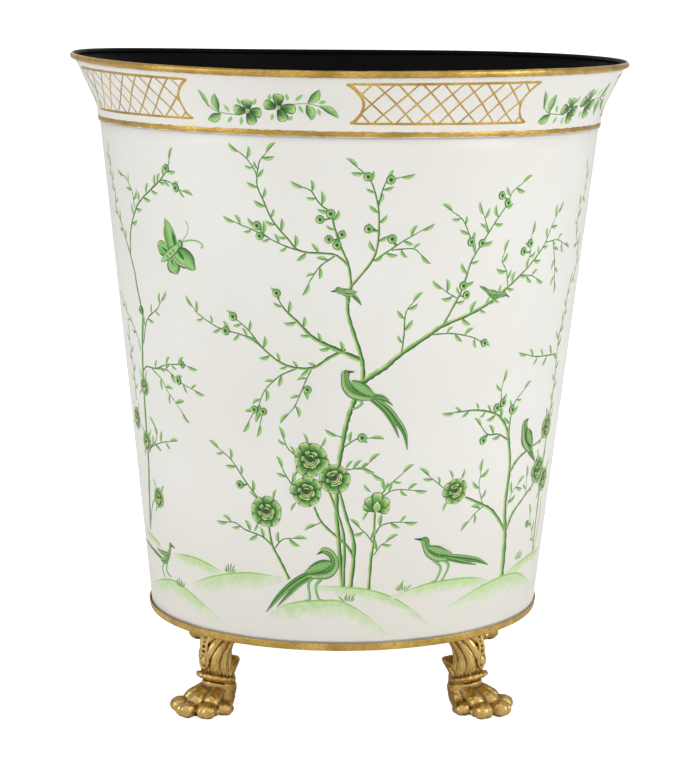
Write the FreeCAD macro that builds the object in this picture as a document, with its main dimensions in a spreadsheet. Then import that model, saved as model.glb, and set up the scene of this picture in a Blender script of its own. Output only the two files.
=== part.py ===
import FreeCAD, Part
import math
import os
import Sketcher

# Footed planter: a tapered sheet steel drum with a flared collar and a wired rim,
# seated in a shallow base pan that stands on four cast lion paw feet.
# The origin is on the floor under the middle of the base pan, +Z is up and -Y is the front.

Vector = FreeCAD.Vector
Rotation = FreeCAD.Rotation
Placement = FreeCAD.Placement

# Driving dimensions in millimetres, degrees or counts
sizes = {
    # base pan
    "panThickness": 1.0,
    "panRimHeight": 5.0,
    "panBendRadius": 1.4,
    "seatGap": 0.15,
    # tapered body
    "bodyThickness": 0.8,
    "bodyBottomRadius": 129.2,
    "bodyTopRadius": 164.1,
    "bodyHeight": 327.0,
    "leanAngle": 0.85,
    # flared collar and the wire along its edge
    "collarThickness": 0.8,
    "lapHeight": 4.0,
    "lapGap": 0.1,
    "flareRadius": 42.0,
    "flareStep": 11.0,
    "collarHeight": 36.0,
    "rimRadius": 180.0,
    "wireRadius": 2.0,
    "wireSides": 6,
    # cast foot: shank, bracelet and leaves
    "footHeight": 52.0,
    "footInset": 13.7,
    "shankRadius": 10.9,
    "leafCount": 8,
    "leafDepth": 1.2,
    "braceletRadius": 12.9,
    "braceletHeight": 5.2,
    "braceletTilt": 9.0,
    "beadCount": 8,
    "beadDepth": 0.5,
    "cabochonRadius": 3.6,
    "cabochonDepth": 1.6,
    "scrollLength": 20.5,
    "scrollRootRadius": 5.0,
    "scrollTipRadius": 1.3,
    # cast foot: paw
    "pawLength": 38.0,
    "pawWidth": 29.0,
    "frontToeRadius": 6.3,
    "sideToeRadius": 5.2,
    "toeLength": 27.4,
    "clawRadius": 2.0,
    "clawLength": 6.0,
    "soleDepth": 0.5,
    # bolts that hold the feet
    "boltRadius": 2.5,
    "boltLength": 15.0,
    "boltHeadWidth": 8.0,
    "boltHeadHeight": 3.5,
    "holeGap": 0.25,
    "threadGap": 0.05,
    "tapEndDepth": 2.0,
    # length that every cutter runs past the face it cuts
    "overrun": 3.0,
}

# Each foot turns a little on its single bolt: azimuth of its place, then its own turn
footPlaces = {
    "paw_foot_front_left": (225.0, 2.0),
    "paw_foot_front_right": (315.0, 7.0),
    "paw_foot_rear_right": (45.0, -3.0),
    "paw_foot_rear_left": (135.0, 2.0),
}

doc = FreeCAD.newDocument("FootedPlanter")
sheet = doc.addObject("Spreadsheet::Sheet", "Sizes")
for row, (alias, number) in enumerate(sizes.items(), start=1):
    sheet.set("A%d" % row, alias)
    sheet.set("B%d" % row, str(number))
    sheet.setAlias("B%d" % row, alias)
doc.recompute()


def size(alias):
    return float(sheet.get(alias))


# The number that an expression on the sheet gives
def value(expression):
    return float(sheet.evalExpression(expression))


# Heights and radii that several pieces share, as expressions on the sheet
panFloor = "(Sizes.footHeight + Sizes.panThickness)"
taper = "((Sizes.bodyTopRadius - Sizes.bodyBottomRadius) / Sizes.bodyHeight)"
leanDrop = "(Sizes.bodyBottomRadius * tan(Sizes.leanAngle * 1deg))"
panInnerRadius = "(Sizes.bodyBottomRadius + %s * %s + Sizes.seatGap)" % (taper, leanDrop)
footCircle = "(Sizes.bodyBottomRadius - Sizes.footInset)"


def bind(thing, **expressions):
    for name, expression in expressions.items():
        thing.setExpression(name, expression)


# A sketch on the upright plane through the axis, drawn as radius and height
def uprightSketch(name):
    sketch = doc.addObject("Sketcher::SketchObject", name)
    sketch.Placement = Placement(Vector(0, 0, 0), Rotation(Vector(1, 0, 0), 90))
    return sketch


# Holds one point of a sketch line or arc at a radius and a height from the sheet
def pin(sketch, geometry, point, radius, height):
    across = sketch.addConstraint(Sketcher.Constraint("DistanceX", geometry, point, value(radius)))
    sketch.setExpression("Constraints[%d]" % across, radius)
    up = sketch.addConstraint(Sketcher.Constraint("DistanceY", geometry, point, value(height)))
    sketch.setExpression("Constraints[%d]" % up, height)


# Lines from corner to corner, each corner a radius and a height; the last line is not closed
def chain(name, corners):
    sketch = uprightSketch(name)
    places = [Vector(value(radius), value(height), 0) for radius, height in corners]
    lines = [sketch.addGeometry(Part.LineSegment(start, end)) for start, end in zip(places, places[1:])]
    for line, (radius, height) in zip(lines, corners):
        pin(sketch, line, 1, radius, height)
    pin(sketch, lines[-1], 2, *corners[-1])
    for first, second in zip(lines, lines[1:]):
        sketch.addConstraint(Sketcher.Constraint("Coincident", first, 2, second, 1))
    return sketch


# The same lines with one more that closes them
def closedChain(name, corners):
    sketch = chain(name, corners)
    start = Vector(value(corners[0][0]), value(corners[0][1]), 0)
    end = Vector(value(corners[-1][0]), value(corners[-1][1]), 0)
    closing = sketch.addGeometry(Part.LineSegment(end, start))
    sketch.addConstraint(Sketcher.Constraint("Coincident", closing - 1, 2, closing, 1))
    sketch.addConstraint(Sketcher.Constraint("Coincident", closing, 2, 0, 1))
    return sketch


def turn(name, outline):
    turned = doc.addObject("Part::Revolution", name + "Turned")
    turned.Source = outline
    turned.Axis = Vector(0, 0, 1)
    turned.Base = Vector(0, 0, 0)
    turned.Angle = 360
    turned.Solid = True
    return turned


# The outer line of a bent sheet metal piece, given its metal towards the inside
def bentSheet(name, outline, metal):
    section = doc.addObject("Part::Offset2D", name + "Section")
    section.Source = outline
    section.Mode = "Skin"
    section.Join = "Intersection"
    section.Fill = True
    bind(section, Value=metal)
    return turn(name, section)


# The drum, collar and wire lean together about the middle of the pan's floor
def leanOver(thing):
    thing.Placement = Placement(Vector(0, 0, value(panFloor)), Rotation(Vector(0, 1, 0), size("leanAngle")))
    thing.setExpression("Placement.Base.z", panFloor)


def cylinder(name, radius, height, base):
    made = doc.addObject("Part::Cylinder", name)
    bind(made, Radius=radius, Height=height)
    made.setExpression("Placement.Base.z", base)
    return made


def cut(label, base, tool):
    made = doc.addObject("Part::Cut", label)
    made.Base = base
    made.Tool = tool
    made.Label = label
    return made


def fuse(label, pieces):
    made = doc.addObject("Part::MultiFuse", label)
    made.Shapes = pieces
    made.Label = label
    return made


def footPlace(azimuth, ownTurn=0.0):
    heading = math.radians(azimuth)
    reach = value(footCircle)
    spot = Vector(reach * math.cos(heading), reach * math.sin(heading), 0)
    return Placement(spot, Rotation(Vector(0, 0, 1), azimuth + ownTurn))


# Base pan: a disc whose edge is turned up round the foot of the drum
def basePan():
    rimGrowth = "%s * (Sizes.panRimHeight - Sizes.panThickness)" % taper
    outerRadius = panInnerRadius + " + Sizes.panThickness"
    rimTop = "Sizes.footHeight + Sizes.panRimHeight"
    outline = closedChain("PanLine", [
        ("0", "Sizes.footHeight"),
        (outerRadius + " - Sizes.panBendRadius", "Sizes.footHeight"),
        (outerRadius, "Sizes.footHeight + Sizes.panBendRadius"),
        (outerRadius + " + " + rimGrowth, rimTop),
        (panInnerRadius + " + " + rimGrowth, rimTop),
        (panInnerRadius, panFloor),
        ("0", panFloor),
    ])
    pan = turn("Pan", outline)
    holes = []
    for number, (azimuth, ownTurn) in enumerate(footPlaces.values(), start=1):
        hole = doc.addObject("Part::Cylinder", "PanHole%d" % number)
        bind(hole, Radius="Sizes.boltRadius + Sizes.holeGap", Height="Sizes.panThickness + 2 * Sizes.overrun")
        hole.Placement = footPlace(azimuth)
        hole.setExpression("Placement.Base.z", "Sizes.footHeight - Sizes.overrun")
        holes.append(hole)
    return cut("base_pan", pan, fuse("PanHoles", holes))


# Tapered drum: one sheet rolled to a cone and trimmed level where it stands on the pan
def bodyShell():
    below = "(%s + Sizes.overrun)" % leanDrop
    lowRadius = "Sizes.bodyBottomRadius - %s * %s" % (taper, below)
    inside = " - Sizes.bodyThickness"
    outline = closedChain("BodyLine", [
        (lowRadius, "-" + below),
        ("Sizes.bodyTopRadius", "Sizes.bodyHeight"),
        ("Sizes.bodyTopRadius" + inside, "Sizes.bodyHeight"),
        (lowRadius + inside, "-" + below),
    ])
    drum = turn("Body", outline)
    leanOver(drum)
    trimmer = cylinder("BodyTrim", "Sizes.bodyTopRadius", "2 * " + below, panFloor + " - 2 * " + below)
    return cut("body_shell", drum, trimmer)


# The collar's outer line: a short skirt laps over the drum, a bend turns the metal out,
# and a straight flare runs up to butt against the wire
wallSlope = "atan(%s)" % taper
skirtRadius = "(Sizes.bodyTopRadius + Sizes.lapGap + Sizes.collarThickness)"
rimHeight = "(Sizes.bodyHeight + Sizes.collarHeight)"


def bendCorner(step):
    slope = "(%s + %d * Sizes.flareStep * 1deg)" % (wallSlope, step)
    radius = "(%s + Sizes.flareRadius * (cos(%s) - cos(%s)))" % (skirtRadius, wallSlope, slope)
    height = "(Sizes.bodyHeight + Sizes.flareRadius * (sin(%s) - sin(%s)))" % (slope, wallSlope)
    return radius, height


bendEnd = bendCorner(2)
flareSlope = "atan((Sizes.rimRadius - %s) / (%s - %s))" % (bendEnd[0], rimHeight, bendEnd[1])
wireFlat = "Sizes.wireRadius * cos(180deg / Sizes.wireSides)"


def flaredCollar():
    outline = chain("CollarLine", [
        ("%s - %s * Sizes.lapHeight" % (skirtRadius, taper), "Sizes.bodyHeight - Sizes.lapHeight"),
        (skirtRadius, "Sizes.bodyHeight"),
        bendCorner(1),
        bendEnd,
        ("Sizes.rimRadius - %s * sin(%s)" % (wireFlat, flareSlope), "%s - %s * cos(%s)" % (
            rimHeight, wireFlat, flareSlope)),
    ])
    collar = bentSheet("Collar", outline, "Sizes.collarThickness")
    collar.Label = "flared_collar"
    leanOver(collar)
    return collar


# Wire along the rim; its round section is drawn with flats, one of them on the collar's edge
def rimWire():
    section = doc.addObject("Part::RegularPolygon", "WireSection")
    bind(section, Circumradius="Sizes.wireRadius", Polygon="Sizes.wireSides")
    flatTurn = "(90deg - %s + 180deg / Sizes.wireSides)" % flareSlope
    section.Placement = Placement(Vector(0, 0, 0), Rotation(Vector(0, 1, 0), -value(flatTurn)) * Rotation(
        Vector(1, 0, 0), 90))
    section.setExpression("Placement.Base.x", "Sizes.rimRadius")
    section.setExpression("Placement.Base.z", rimHeight)
    wire = turn("Wire", section)
    wire.Label = "rim_wire"
    leanOver(wire)
    return wire


# The cast foot is drawn standing at the origin with its toes towards +X.
# Its outlines are shares of the foot's own sizes.
# Leafy shank, from the bracelet up: share of the foot's height, shift of its middle and
# radius as shares of the shank's radius, leaf depth as a share of the full depth, and how
# far the leaves sweep from the front ridge towards the back
shankShares = [
    (0.46, 0.00, 0.90, 0.30, 0.00),
    (0.62, 0.08, 1.00, 0.70, 0.10),
    (0.80, 0.02, 0.98, 0.90, 0.24),
    (1.00, -0.26, 1.10, 1.00, 0.42),
]
# Corners of one leaf across its width: place over the leaf's width, depth share
leafCornerShares = [(-0.50, 1.0), (0.0, 0.0)]
# Paw, from the floor up: share of the foot's height, middle as a share of the paw's
# length, then half length and half width as shares of the paw's length and width
pawShares = [
    (0.000, 0.130, 0.490, 0.480),
    (0.130, 0.125, 0.510, 0.500),
    (0.265, 0.020, 0.415, 0.410),
    (0.385, -0.080, 0.295, 0.345),
    (0.480, -0.015, 0.262, 0.335),
]
pawCorners = 10
# Bracelet round the ankle: share of its height from the middle, share of its radius
braceletShares = [(-0.50, 0.80), (0.0, 1.0), (0.50, 0.80)]
braceletMiddleShare = 0.475
# Toes: tip along the reach, tip across the paw's width
frontToeShares = [(1.00, 0.0), (0.76, 0.405), (0.76, -0.405)]
sideToeShares = [(0.30, 0.535), (0.30, -0.535)]
# One toe from its knuckle to its tip: place from the tip's middle over its radius,
# rise over its radius, half width and half height over its radius
toeShares = [
    (-2.00, 0.80, 0.68, 0.68),
    (-0.60, 0.35, 0.96, 0.96),
    (0.40, -0.02, 0.94, 0.94),
    (0.95, -0.18, 0.40, 0.44),
]
toeCorners = 6
# Claw from inside the toe to its point: place over its length, drop and half width over
# its radius
clawShares = [(-0.10, 0.0, 1.0), (1.00, 1.0, 0.2)]
clawCorners = 4
clawRootShare = 0.55
clawDropShare = 0.30
# Leaf curl behind the shank: share of the way from its root to its tip
scrollShares = [(0.0, 0.0), (0.60, 0.70), (1.0, 1.0)]
scrollRootShares = (0.45, 0.50)
scrollTipShare = 0.60
# Oval boss on the front ridge: share of its radius from the middle outwards, radius share
cabochonShares = [(0.0, 1.0), (0.55, 0.84), (0.92, 0.38)]
cabochonMiddleShare = 0.66
cabochonTallnessShare = 1.25


# A closed solid over rings of corners, each ring with as many corners as the next
def skin(rings):
    faces = []
    for low, high in zip(rings, rings[1:]):
        for corner in range(len(low)):
            beside = (corner + 1) % len(low)
            faces.append(Part.Face(Part.makePolygon([low[corner], low[beside], high[beside], low[corner]])))
            faces.append(Part.Face(Part.makePolygon([low[corner], high[beside], high[corner], low[corner]])))
    for end in (rings[0], rings[-1]):
        faces.append(Part.Face(Part.makePolygon(end + end[:1])))
    solid = Part.makeSolid(Part.makeShell(faces))
    if solid.Volume < 0:
        solid.reverse()
    return solid


# Corners round an oval whose two half axes are vectors
def oval(middle, first, second, corners):
    ring = []
    for corner in range(corners):
        angle = 2 * math.pi * (corner + 0.5) / corners
        ring.append(middle + first * math.cos(angle) + second * math.sin(angle))
    return ring


def shank():
    count = int(size("leafCount"))
    rings = []
    for share, shift, radiusShare, depthShare, sweep in shankShares:
        middle = Vector(size("shankRadius") * shift, 0, size("footHeight") * share)
        ring = []
        for leaf in range(count):
            for place, depth in leafCornerShares:
                angle = 2 * math.pi * (leaf + place) / count
                angle = angle + sweep * math.sin(angle)
                reach = size("shankRadius") * radiusShare - size("leafDepth") * depthShare * depth
                ring.append(middle + Vector(reach * math.cos(angle), reach * math.sin(angle), 0))
        rings.append(ring)
    return skin(rings)


def paw():
    rings = []
    for share, middle, halfLength, halfWidth in pawShares:
        centre = Vector(size("pawLength") * middle, 0, size("footHeight") * share)
        along = Vector(size("pawLength") * halfLength, 0, 0)
        across = Vector(0, size("pawWidth") * halfWidth, 0)
        rings.append(oval(centre, along, across, pawCorners))
    return skin(rings)


# A toe swells from its knuckle to a round tip, and its claw points out and down
def toe(tip, radius):
    heading = Vector(tip.x, tip.y, 0)
    heading.normalize()
    across = Vector(-heading.y, heading.x, 0)
    up = Vector(0, 0, 1)
    rings = []
    for place, rise, halfWidth, halfHeight in toeShares:
        middle = tip + heading * (place * radius) + up * (rise * radius)
        rings.append(oval(middle, across * (halfWidth * radius), up * (halfHeight * radius), toeCorners))
    root = tip + heading * (clawRootShare * radius) - up * (clawDropShare * radius)
    clawRings = []
    for place, drop, girth in clawShares:
        thick = size("clawRadius") * girth
        middle = root + heading * (place * size("clawLength")) - up * (drop * size("clawRadius"))
        clawRings.append(oval(middle, across * thick, up * thick, clawCorners))
    return [skin(rings), skin(clawRings)]


def toes():
    pieces = []
    rows = [(shares, size("frontToeRadius")) for shares in frontToeShares]
    rows += [(shares, size("sideToeRadius")) for shares in sideToeShares]
    for (reach, across), radius in rows:
        tip = Vector(size("toeLength") * reach, size("pawWidth") * across, radius - size("soleDepth"))
        pieces += toe(tip, radius)
    return pieces


# Beads run round the bracelet, which stands higher at the front
def bracelet():
    corners = 2 * int(size("beadCount"))
    slope = math.tan(math.radians(size("braceletTilt")))
    rings = []
    for rise, girth in braceletShares:
        ring = []
        for corner in range(corners):
            angle = 2 * math.pi * (corner + 0.5) / corners
            reach = size("braceletRadius") * girth - size("beadDepth") * (corner % 2)
            along = reach * math.cos(angle)
            height = size("footHeight") * braceletMiddleShare + size("braceletHeight") * rise + slope * along
            ring.append(Vector(along, reach * math.sin(angle), height))
        rings.append(ring)
    return skin(rings)


# The leaf at the back of the shank curls in under the vessel
def backScroll():
    root = Vector(-size("shankRadius") * scrollRootShares[0], 0, size("footHeight") * scrollRootShares[1])
    tip = Vector(-size("scrollLength"), 0, size("footHeight") * scrollTipShare)
    run = tip - root
    across = Vector(0, 1, 0)
    upward = run.cross(across)
    upward.normalize()
    rings = []
    for place, slimming in scrollShares:
        thick = size("scrollRootRadius") + (size("scrollTipRadius") - size("scrollRootRadius")) * slimming
        rings.append(oval(root + run * place, across * thick, upward * thick, toeCorners))
    return skin(rings)


def cabochon():
    middle = size("shankRadius") + size("cabochonDepth") - size("cabochonRadius")
    rings = []
    for place, girth in cabochonShares:
        centre = Vector(middle + size("cabochonRadius") * place, 0, size("footHeight") * cabochonMiddleShare)
        half = size("cabochonRadius") * girth
        rings.append(oval(centre, Vector(0, half, 0), Vector(0, 0, half * cabochonTallnessShare), toeCorners))
    return skin(rings)


def castFoot():
    solid = shank().fuse([paw(), bracelet(), backScroll(), cabochon()] + toes())
    reach = size("pawLength") + size("toeLength")
    underside = Part.makeBox(2 * reach, 2 * reach, 2 * reach, Vector(-reach, -reach, -2 * reach))
    tapDepth = size("boltLength") + size("tapEndDepth") - size("panThickness")
    tapBottom = Vector(0, 0, size("footHeight") - tapDepth)
    tap = Part.makeCylinder(size("boltRadius") + size("threadGap"), tapDepth + size("overrun"), tapBottom)
    return solid.cut([underside, tap]).removeSplitter()


def pawFeet():
    shape = castFoot()
    feet = []
    for node, (azimuth, ownTurn) in footPlaces.items():
        foot = doc.addObject("Part::Feature", node)
        foot.Shape = shape
        foot.Placement = footPlace(azimuth, ownTurn)
        foot.Label = node
        feet.append(foot)
    return feet


# Hexagon head bolts come down through the pan into the feet
def footBolts():
    shaft = cylinder("BoltShaft", "Sizes.boltRadius", "Sizes.boltLength", "-Sizes.boltLength")
    hexagon = doc.addObject("Part::Prism", "BoltHead")
    hexagon.Polygon = 6
    bind(hexagon, Circumradius="Sizes.boltHeadWidth / (2 * cos(30deg))", Height="Sizes.boltHeadHeight")
    whole = fuse("BoltWhole", [shaft, hexagon])
    bolts = []
    for number, (azimuth, ownTurn) in enumerate(footPlaces.values(), start=1):
        bolt = doc.addObject("Part::Compound", "Bolt%d" % number)
        bolt.Links = [whole]
        bolt.Placement = footPlace(azimuth, ownTurn)
        bolt.setExpression("Placement.Base.z", panFloor)
        bolts.append(bolt)
    group = doc.addObject("Part::Compound", "foot_bolts")
    group.Links = bolts
    return group


nodes = [bodyShell(), flaredCollar(), rimWire(), basePan()]
nodes.append(footBolts())
doc.recompute()
nodes += pawFeet()
doc.recompute()

for thing in doc.Objects:
    if "Invalid" in thing.State or "Error" in thing.State:
        raise RuntimeError("%s did not compute: %s" % (thing.Name, thing.State))
for node in nodes:
    if node.Shape.isNull() or not node.Shape.isValid():
        raise RuntimeError("%s has no valid shape" % node.Label)

os.makedirs("parts", exist_ok=True)
for node in nodes:
    node.Shape.exportStep("parts/%s.step" % node.Label)
    box = node.Shape.BoundBox
    print("%-24s solids %d volume %.1f height %.2f to %.2f" % (
        node.Label, len(node.Shape.Solids), node.Shape.Volume, box.ZMin, box.ZMax))
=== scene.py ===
import math
import random

import bpy
import numpy as np
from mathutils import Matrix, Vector, noise


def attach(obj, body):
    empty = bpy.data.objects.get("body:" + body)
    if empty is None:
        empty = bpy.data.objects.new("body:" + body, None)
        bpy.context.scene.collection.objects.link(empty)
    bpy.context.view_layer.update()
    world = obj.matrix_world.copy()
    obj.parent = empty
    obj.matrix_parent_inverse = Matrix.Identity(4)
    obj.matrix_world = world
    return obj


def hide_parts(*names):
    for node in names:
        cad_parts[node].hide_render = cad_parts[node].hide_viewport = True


# Footed planter: painted tapered drum, flared collar with a gold wired rim, gold base pan
# and four gilt lion paw feet. Places and sizes below are in millimetres unless a note says
# otherwise; mm turns them into Blender's metres.
mm = 0.001

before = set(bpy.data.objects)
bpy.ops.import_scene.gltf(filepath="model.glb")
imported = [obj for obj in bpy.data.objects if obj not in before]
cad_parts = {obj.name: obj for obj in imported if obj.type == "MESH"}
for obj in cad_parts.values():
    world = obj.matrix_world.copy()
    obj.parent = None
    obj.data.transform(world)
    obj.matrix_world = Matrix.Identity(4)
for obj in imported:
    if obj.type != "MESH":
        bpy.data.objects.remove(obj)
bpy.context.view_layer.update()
print("frame: %d nodes" % len(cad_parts))


# Camera, measured on the picture
view = {
    "place": (5.18, -1589.7, 468.8),
    "pitch": math.radians(9.50),   # looking down
    "focal": 2400.8,               # pixels
    "width": 700.0,                # pixels
    "height": 761.0,               # pixels
    "sensor": 36.0,
    "far": 500.0,                  # metres
}


def addCamera():
    data = bpy.data.cameras.new("photoView")
    data.sensor_fit = "HORIZONTAL"
    data.sensor_width = view["sensor"]
    data.lens = view["focal"] * view["sensor"] / view["width"]
    data.clip_end = view["far"]
    camera = bpy.data.objects.new("photoView", data)
    camera.location = Vector(view["place"]) * mm
    camera.rotation_euler = (math.pi / 2 - view["pitch"], 0.0, 0.0)
    bpy.context.scene.collection.objects.link(camera)
    bpy.context.scene.camera = camera


addCamera()


# Mesh helpers
# Turns points in millimetres into an object that rides on the part's only body
def makePiece(name, points, faces, material, replaced=(), colours=None):
    mesh = bpy.data.meshes.new(name)
    mesh.from_pydata([tuple(value * mm for value in point) for point in points], [], faces)
    mesh.polygons.foreach_set("use_smooth", [True] * len(mesh.polygons))
    if colours is not None:
        layer = mesh.color_attributes.new("paint", "FLOAT_COLOR", "POINT")
        layer.data.foreach_set("color", np.array(colours, dtype=np.float32).ravel())
    mesh.update()
    piece = bpy.data.objects.new(name, mesh)
    bpy.context.scene.collection.objects.link(piece)
    mesh.materials.append(material)
    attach(piece, "root")
    if replaced:
        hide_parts(*replaced)


# Faces between rings that have as many corners each; a loop joins its last ring to its first
def ringFaces(rings, count, loop=False, start=0):
    faces = []
    for ring in range(rings if loop else rings - 1):
        near = start + ring * count
        far = start + (ring + 1) % rings * count
        for corner in range(count):
            beside = (corner + 1) % count
            faces.append((near + corner, far + corner, far + beside, near + beside))
    return faces


# The face that closes a turned outline at one of its corners
def capFace(steps, count, corner, reverse=False):
    loop = tuple(step * count + corner for step in range(steps))
    return loop[::-1] if reverse else loop


def spread(low, high, count):
    return [low + (high - low) * step / (count - 1) for step in range(count)]


def turnsRound(count, first=0.0):
    return [first + 2 * math.pi * step / count for step in range(count)]


def blend(low, high, share):
    share = min(max(share, 0.0), 1.0)
    share = share * share * (3 - 2 * share)
    return low + (high - low) * share


# Vessel geometry
vessel = {
    "floorHeight": 53.0,     # top of the pan's floor, where the drum stands
    "bottomRadius": 129.2,
    "topRadius": 164.1,
    "height": 327.0,         # up the drum's own axis
    "lean": math.radians(0.85),
    "lapHeight": 4.0,        # the collar's skirt laps outside the drum
    "lapStep": 0.9,
    "bendRadius": 42.0,
    "bendTurn": math.radians(22.0),
    "rimRadius": 180.0,
    "rimHeight": 363.0,
    "wireRadius": 2.0,
    "metal": 0.8,
    "steps": 360,            # round the vessel
    "reach": 0.5,            # the wall's slope is taken over this much height each way
}
taper = (vessel["topRadius"] - vessel["bottomRadius"]) / vessel["height"]
wallSlope = math.atan(taper)

# The rim isn't quite level: millimetres of rise, as waves round the vessel
rimWaves = [(1, -1.09, 0.0), (2, -1.19, -0.08), (3, 0.13, 0.52)]
rimWaveSpread = 0.6          # how much of the rise also goes outwards


def wallRadius(height):
    v = vessel
    if height < v["height"] - v["lapHeight"]:
        return v["bottomRadius"] + taper * height
    skirt = v["topRadius"] + v["lapStep"]
    if height <= v["height"]:
        return skirt - taper * (v["height"] - height)
    endSlope = wallSlope + v["bendTurn"]
    endHeight = v["height"] + v["bendRadius"] * (math.sin(endSlope) - math.sin(wallSlope))
    if height <= endHeight:
        slope = math.asin(math.sin(wallSlope) + (height - v["height"]) / v["bendRadius"])
        return skirt + v["bendRadius"] * (math.cos(wallSlope) - math.cos(slope))
    endRadius = skirt + v["bendRadius"] * (math.cos(wallSlope) - math.cos(endSlope))
    flare = (v["rimRadius"] - endRadius) / (v["rimHeight"] - endHeight)
    return endRadius + flare * (height - endHeight)


def slopeAt(height):
    return wallRadius(height + vessel["reach"]) - wallRadius(height - vessel["reach"])


def wave(angle, height):
    rise = sum(a * math.cos(n * angle) + b * math.sin(n * angle) for n, a, b in rimWaves)
    return rise * blend(0.0, 1.0, (height - vessel["height"]) / (vessel["rimHeight"] - vessel["height"]))


# Angle 0 is the front; the whole vessel leans a little towards +X
def leaned(radius, angle, height):
    rise = wave(angle, height)
    radius = radius + rimWaveSpread * rise
    height = height + rise
    x = radius * math.sin(angle)
    c = math.cos(vessel["lean"])
    s = math.sin(vessel["lean"])
    return (x * c + height * s, -radius * math.cos(angle), height * c - x * s + vessel["floorHeight"])


# A point on the outer wall, lifted off it by so many millimetres
def onWall(angle, height, lift=0.0):
    slope = math.atan2(slopeAt(height), 2 * vessel["reach"])
    return leaned(wallRadius(height) + lift * math.cos(slope), angle, height - lift * math.sin(slope))


# Height on the drum's own axis that is level with a height over the pan's floor
def levelHeight(radius, angle, above):
    return (above + radius * math.sin(angle) * math.sin(vessel["lean"])) / math.cos(vessel["lean"])


# Turns a closed outline round the vessel's axis; a corner is (radius, height, level or not)
def turnOutline(outline, steps=None, upright=False):
    steps = steps or vessel["steps"]
    points = []
    for angle in turnsRound(steps, math.pi):
        for radius, height, isLevel in outline:
            if upright:
                points.append((radius * math.sin(angle), -radius * math.cos(angle), height))
            else:
                up = levelHeight(radius, angle, height) if isLevel else height
                points.append(leaned(radius, angle, up))
    return points, ringFaces(steps, len(outline), loop=True)


# Points of an outline round a middle, in a section through the axis
def outlineArc(middle, radii, turns, level=False):
    return [(middle[0] + radii[0] * math.cos(turn), middle[1] + radii[1] * math.sin(turn), level)
            for turn in turns]


# Outlines that lie so far inside the drum's straight side, and inside drum and collar
def drumLine(heights, inset):
    return [(wallRadius(0.0) + taper * height - inset, height, False) for height in heights]


def outlineAlong(heights, inset):
    line = []
    for height in heights:
        slope = math.atan2(slopeAt(height), 2 * vessel["reach"])
        line.append((wallRadius(height) - inset * math.cos(slope), height + inset * math.sin(slope), False))
    return line


# Material helpers
# A colour as it looks on screen, 0 to 255, in Blender's linear values
def shade(red, green, blue):
    linear = []
    for value in (red, green, blue):
        share = value / 255
        linear.append(share / 12.92 if share < 0.04 else ((share + 0.055) / 1.055) ** 2.4)
    return (linear[0], linear[1], linear[2], 1.0)


def put(tree, kind, inputs=None, **settings):
    node = tree.nodes.new("ShaderNode" + kind)
    for name, setting in settings.items():
        setattr(node, name, setting)
    for name, given in (inputs or {}).items():
        if isinstance(given, bpy.types.NodeSocket):
            tree.links.new(given, node.inputs[name])
        else:
            node.inputs[name].default_value = given
    return node


def calculate(tree, operation, first, second=0.0):
    return put(tree, "Math", {0: first, 1: second}, operation=operation).outputs[0]


def mixColour(tree, share, first, second, mode="MIX"):
    node = put(tree, "Mix", {0: share, 6: first, 7: second}, data_type="RGBA", blend_type=mode)
    return node.outputs[2]


def rescale(tree, source, low, high, toLow, toHigh):
    node = put(tree, "MapRange", {"Value": source, "From Min": low, "From Max": high,
                                  "To Min": toLow, "To Max": toHigh})
    return node.outputs["Result"]


def effectGroup(name, inputs, outputs):
    group = bpy.data.node_groups.new(name, "ShaderNodeTree")
    for label, given in inputs.items():
        kind = "NodeSocketColor" if isinstance(given, tuple) else "NodeSocketFloat"
        socket = group.interface.new_socket(name=label, in_out="INPUT", socket_type=kind)
        socket.default_value = given
    for label, kind in outputs.items():
        group.interface.new_socket(name=label, in_out="OUTPUT", socket_type="NodeSocket" + kind)
    return group, group.nodes.new("NodeGroupInput").outputs, group.nodes.new("NodeGroupOutput").inputs


def useGroup(tree, group, inputs):
    return put(tree, "Group", inputs, node_tree=group).outputs


# Long marks left by a brush that went round the vessel; their seam is at the back
def brushStreaksGroup():
    group, given, result = effectGroup(
        "brushStreaks", {"Around": 9.0, "Up": 420.0, "Contrast": 1.0}, {"Mask": "Float", "Height": "Float"})
    place = put(group, "TexCoord").outputs["Object"]
    axes = put(group, "SeparateXYZ", {0: place}).outputs
    angle = calculate(group, "ARCTAN2", axes[0], calculate(group, "MULTIPLY", axes[1], -1.0))
    around = calculate(group, "MULTIPLY", angle, given["Around"])
    up = calculate(group, "MULTIPLY", axes[2], given["Up"])
    spot = put(group, "CombineXYZ", {0: around, 1: up, 2: 0.0}).outputs[0]
    fine = put(group, "TexNoise", {"Vector": spot, "Scale": 1.0, "Detail": 4.0, "Roughness": 0.6})
    centred = calculate(group, "SUBTRACT", fine.outputs["Fac"], 0.5)
    strong = calculate(group, "MULTIPLY", centred, given["Contrast"])
    group.links.new(calculate(group, "ADD", strong, 0.5), result["Mask"])
    group.links.new(strong, result["Height"])
    return group


# Soft uneven patches where a hand-brushed coat is thicker or thinner
def paintPatchesGroup():
    group, given, result = effectGroup(
        "paintPatches", {"Colour": (0.8, 0.8, 0.8, 1.0), "Patch Colour": (0.7, 0.7, 0.7, 1.0),
                         "Scale": 12.0, "Amount": 0.5}, {"Colour": "Color", "Mask": "Float"})
    place = put(group, "TexCoord").outputs["Object"]
    cloud = put(group, "TexNoise", {"Vector": place, "Scale": given["Scale"], "Detail": 5.0,
                                    "Roughness": 0.55})
    mask = rescale(group, cloud.outputs["Fac"], 0.35, 0.7, 0.0, 1.0)
    share = calculate(group, "MULTIPLY", mask, given["Amount"])
    group.links.new(mixColour(group, share, given["Colour"], given["Patch Colour"]), result["Colour"])
    group.links.new(mask, result["Mask"])
    return group


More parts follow.
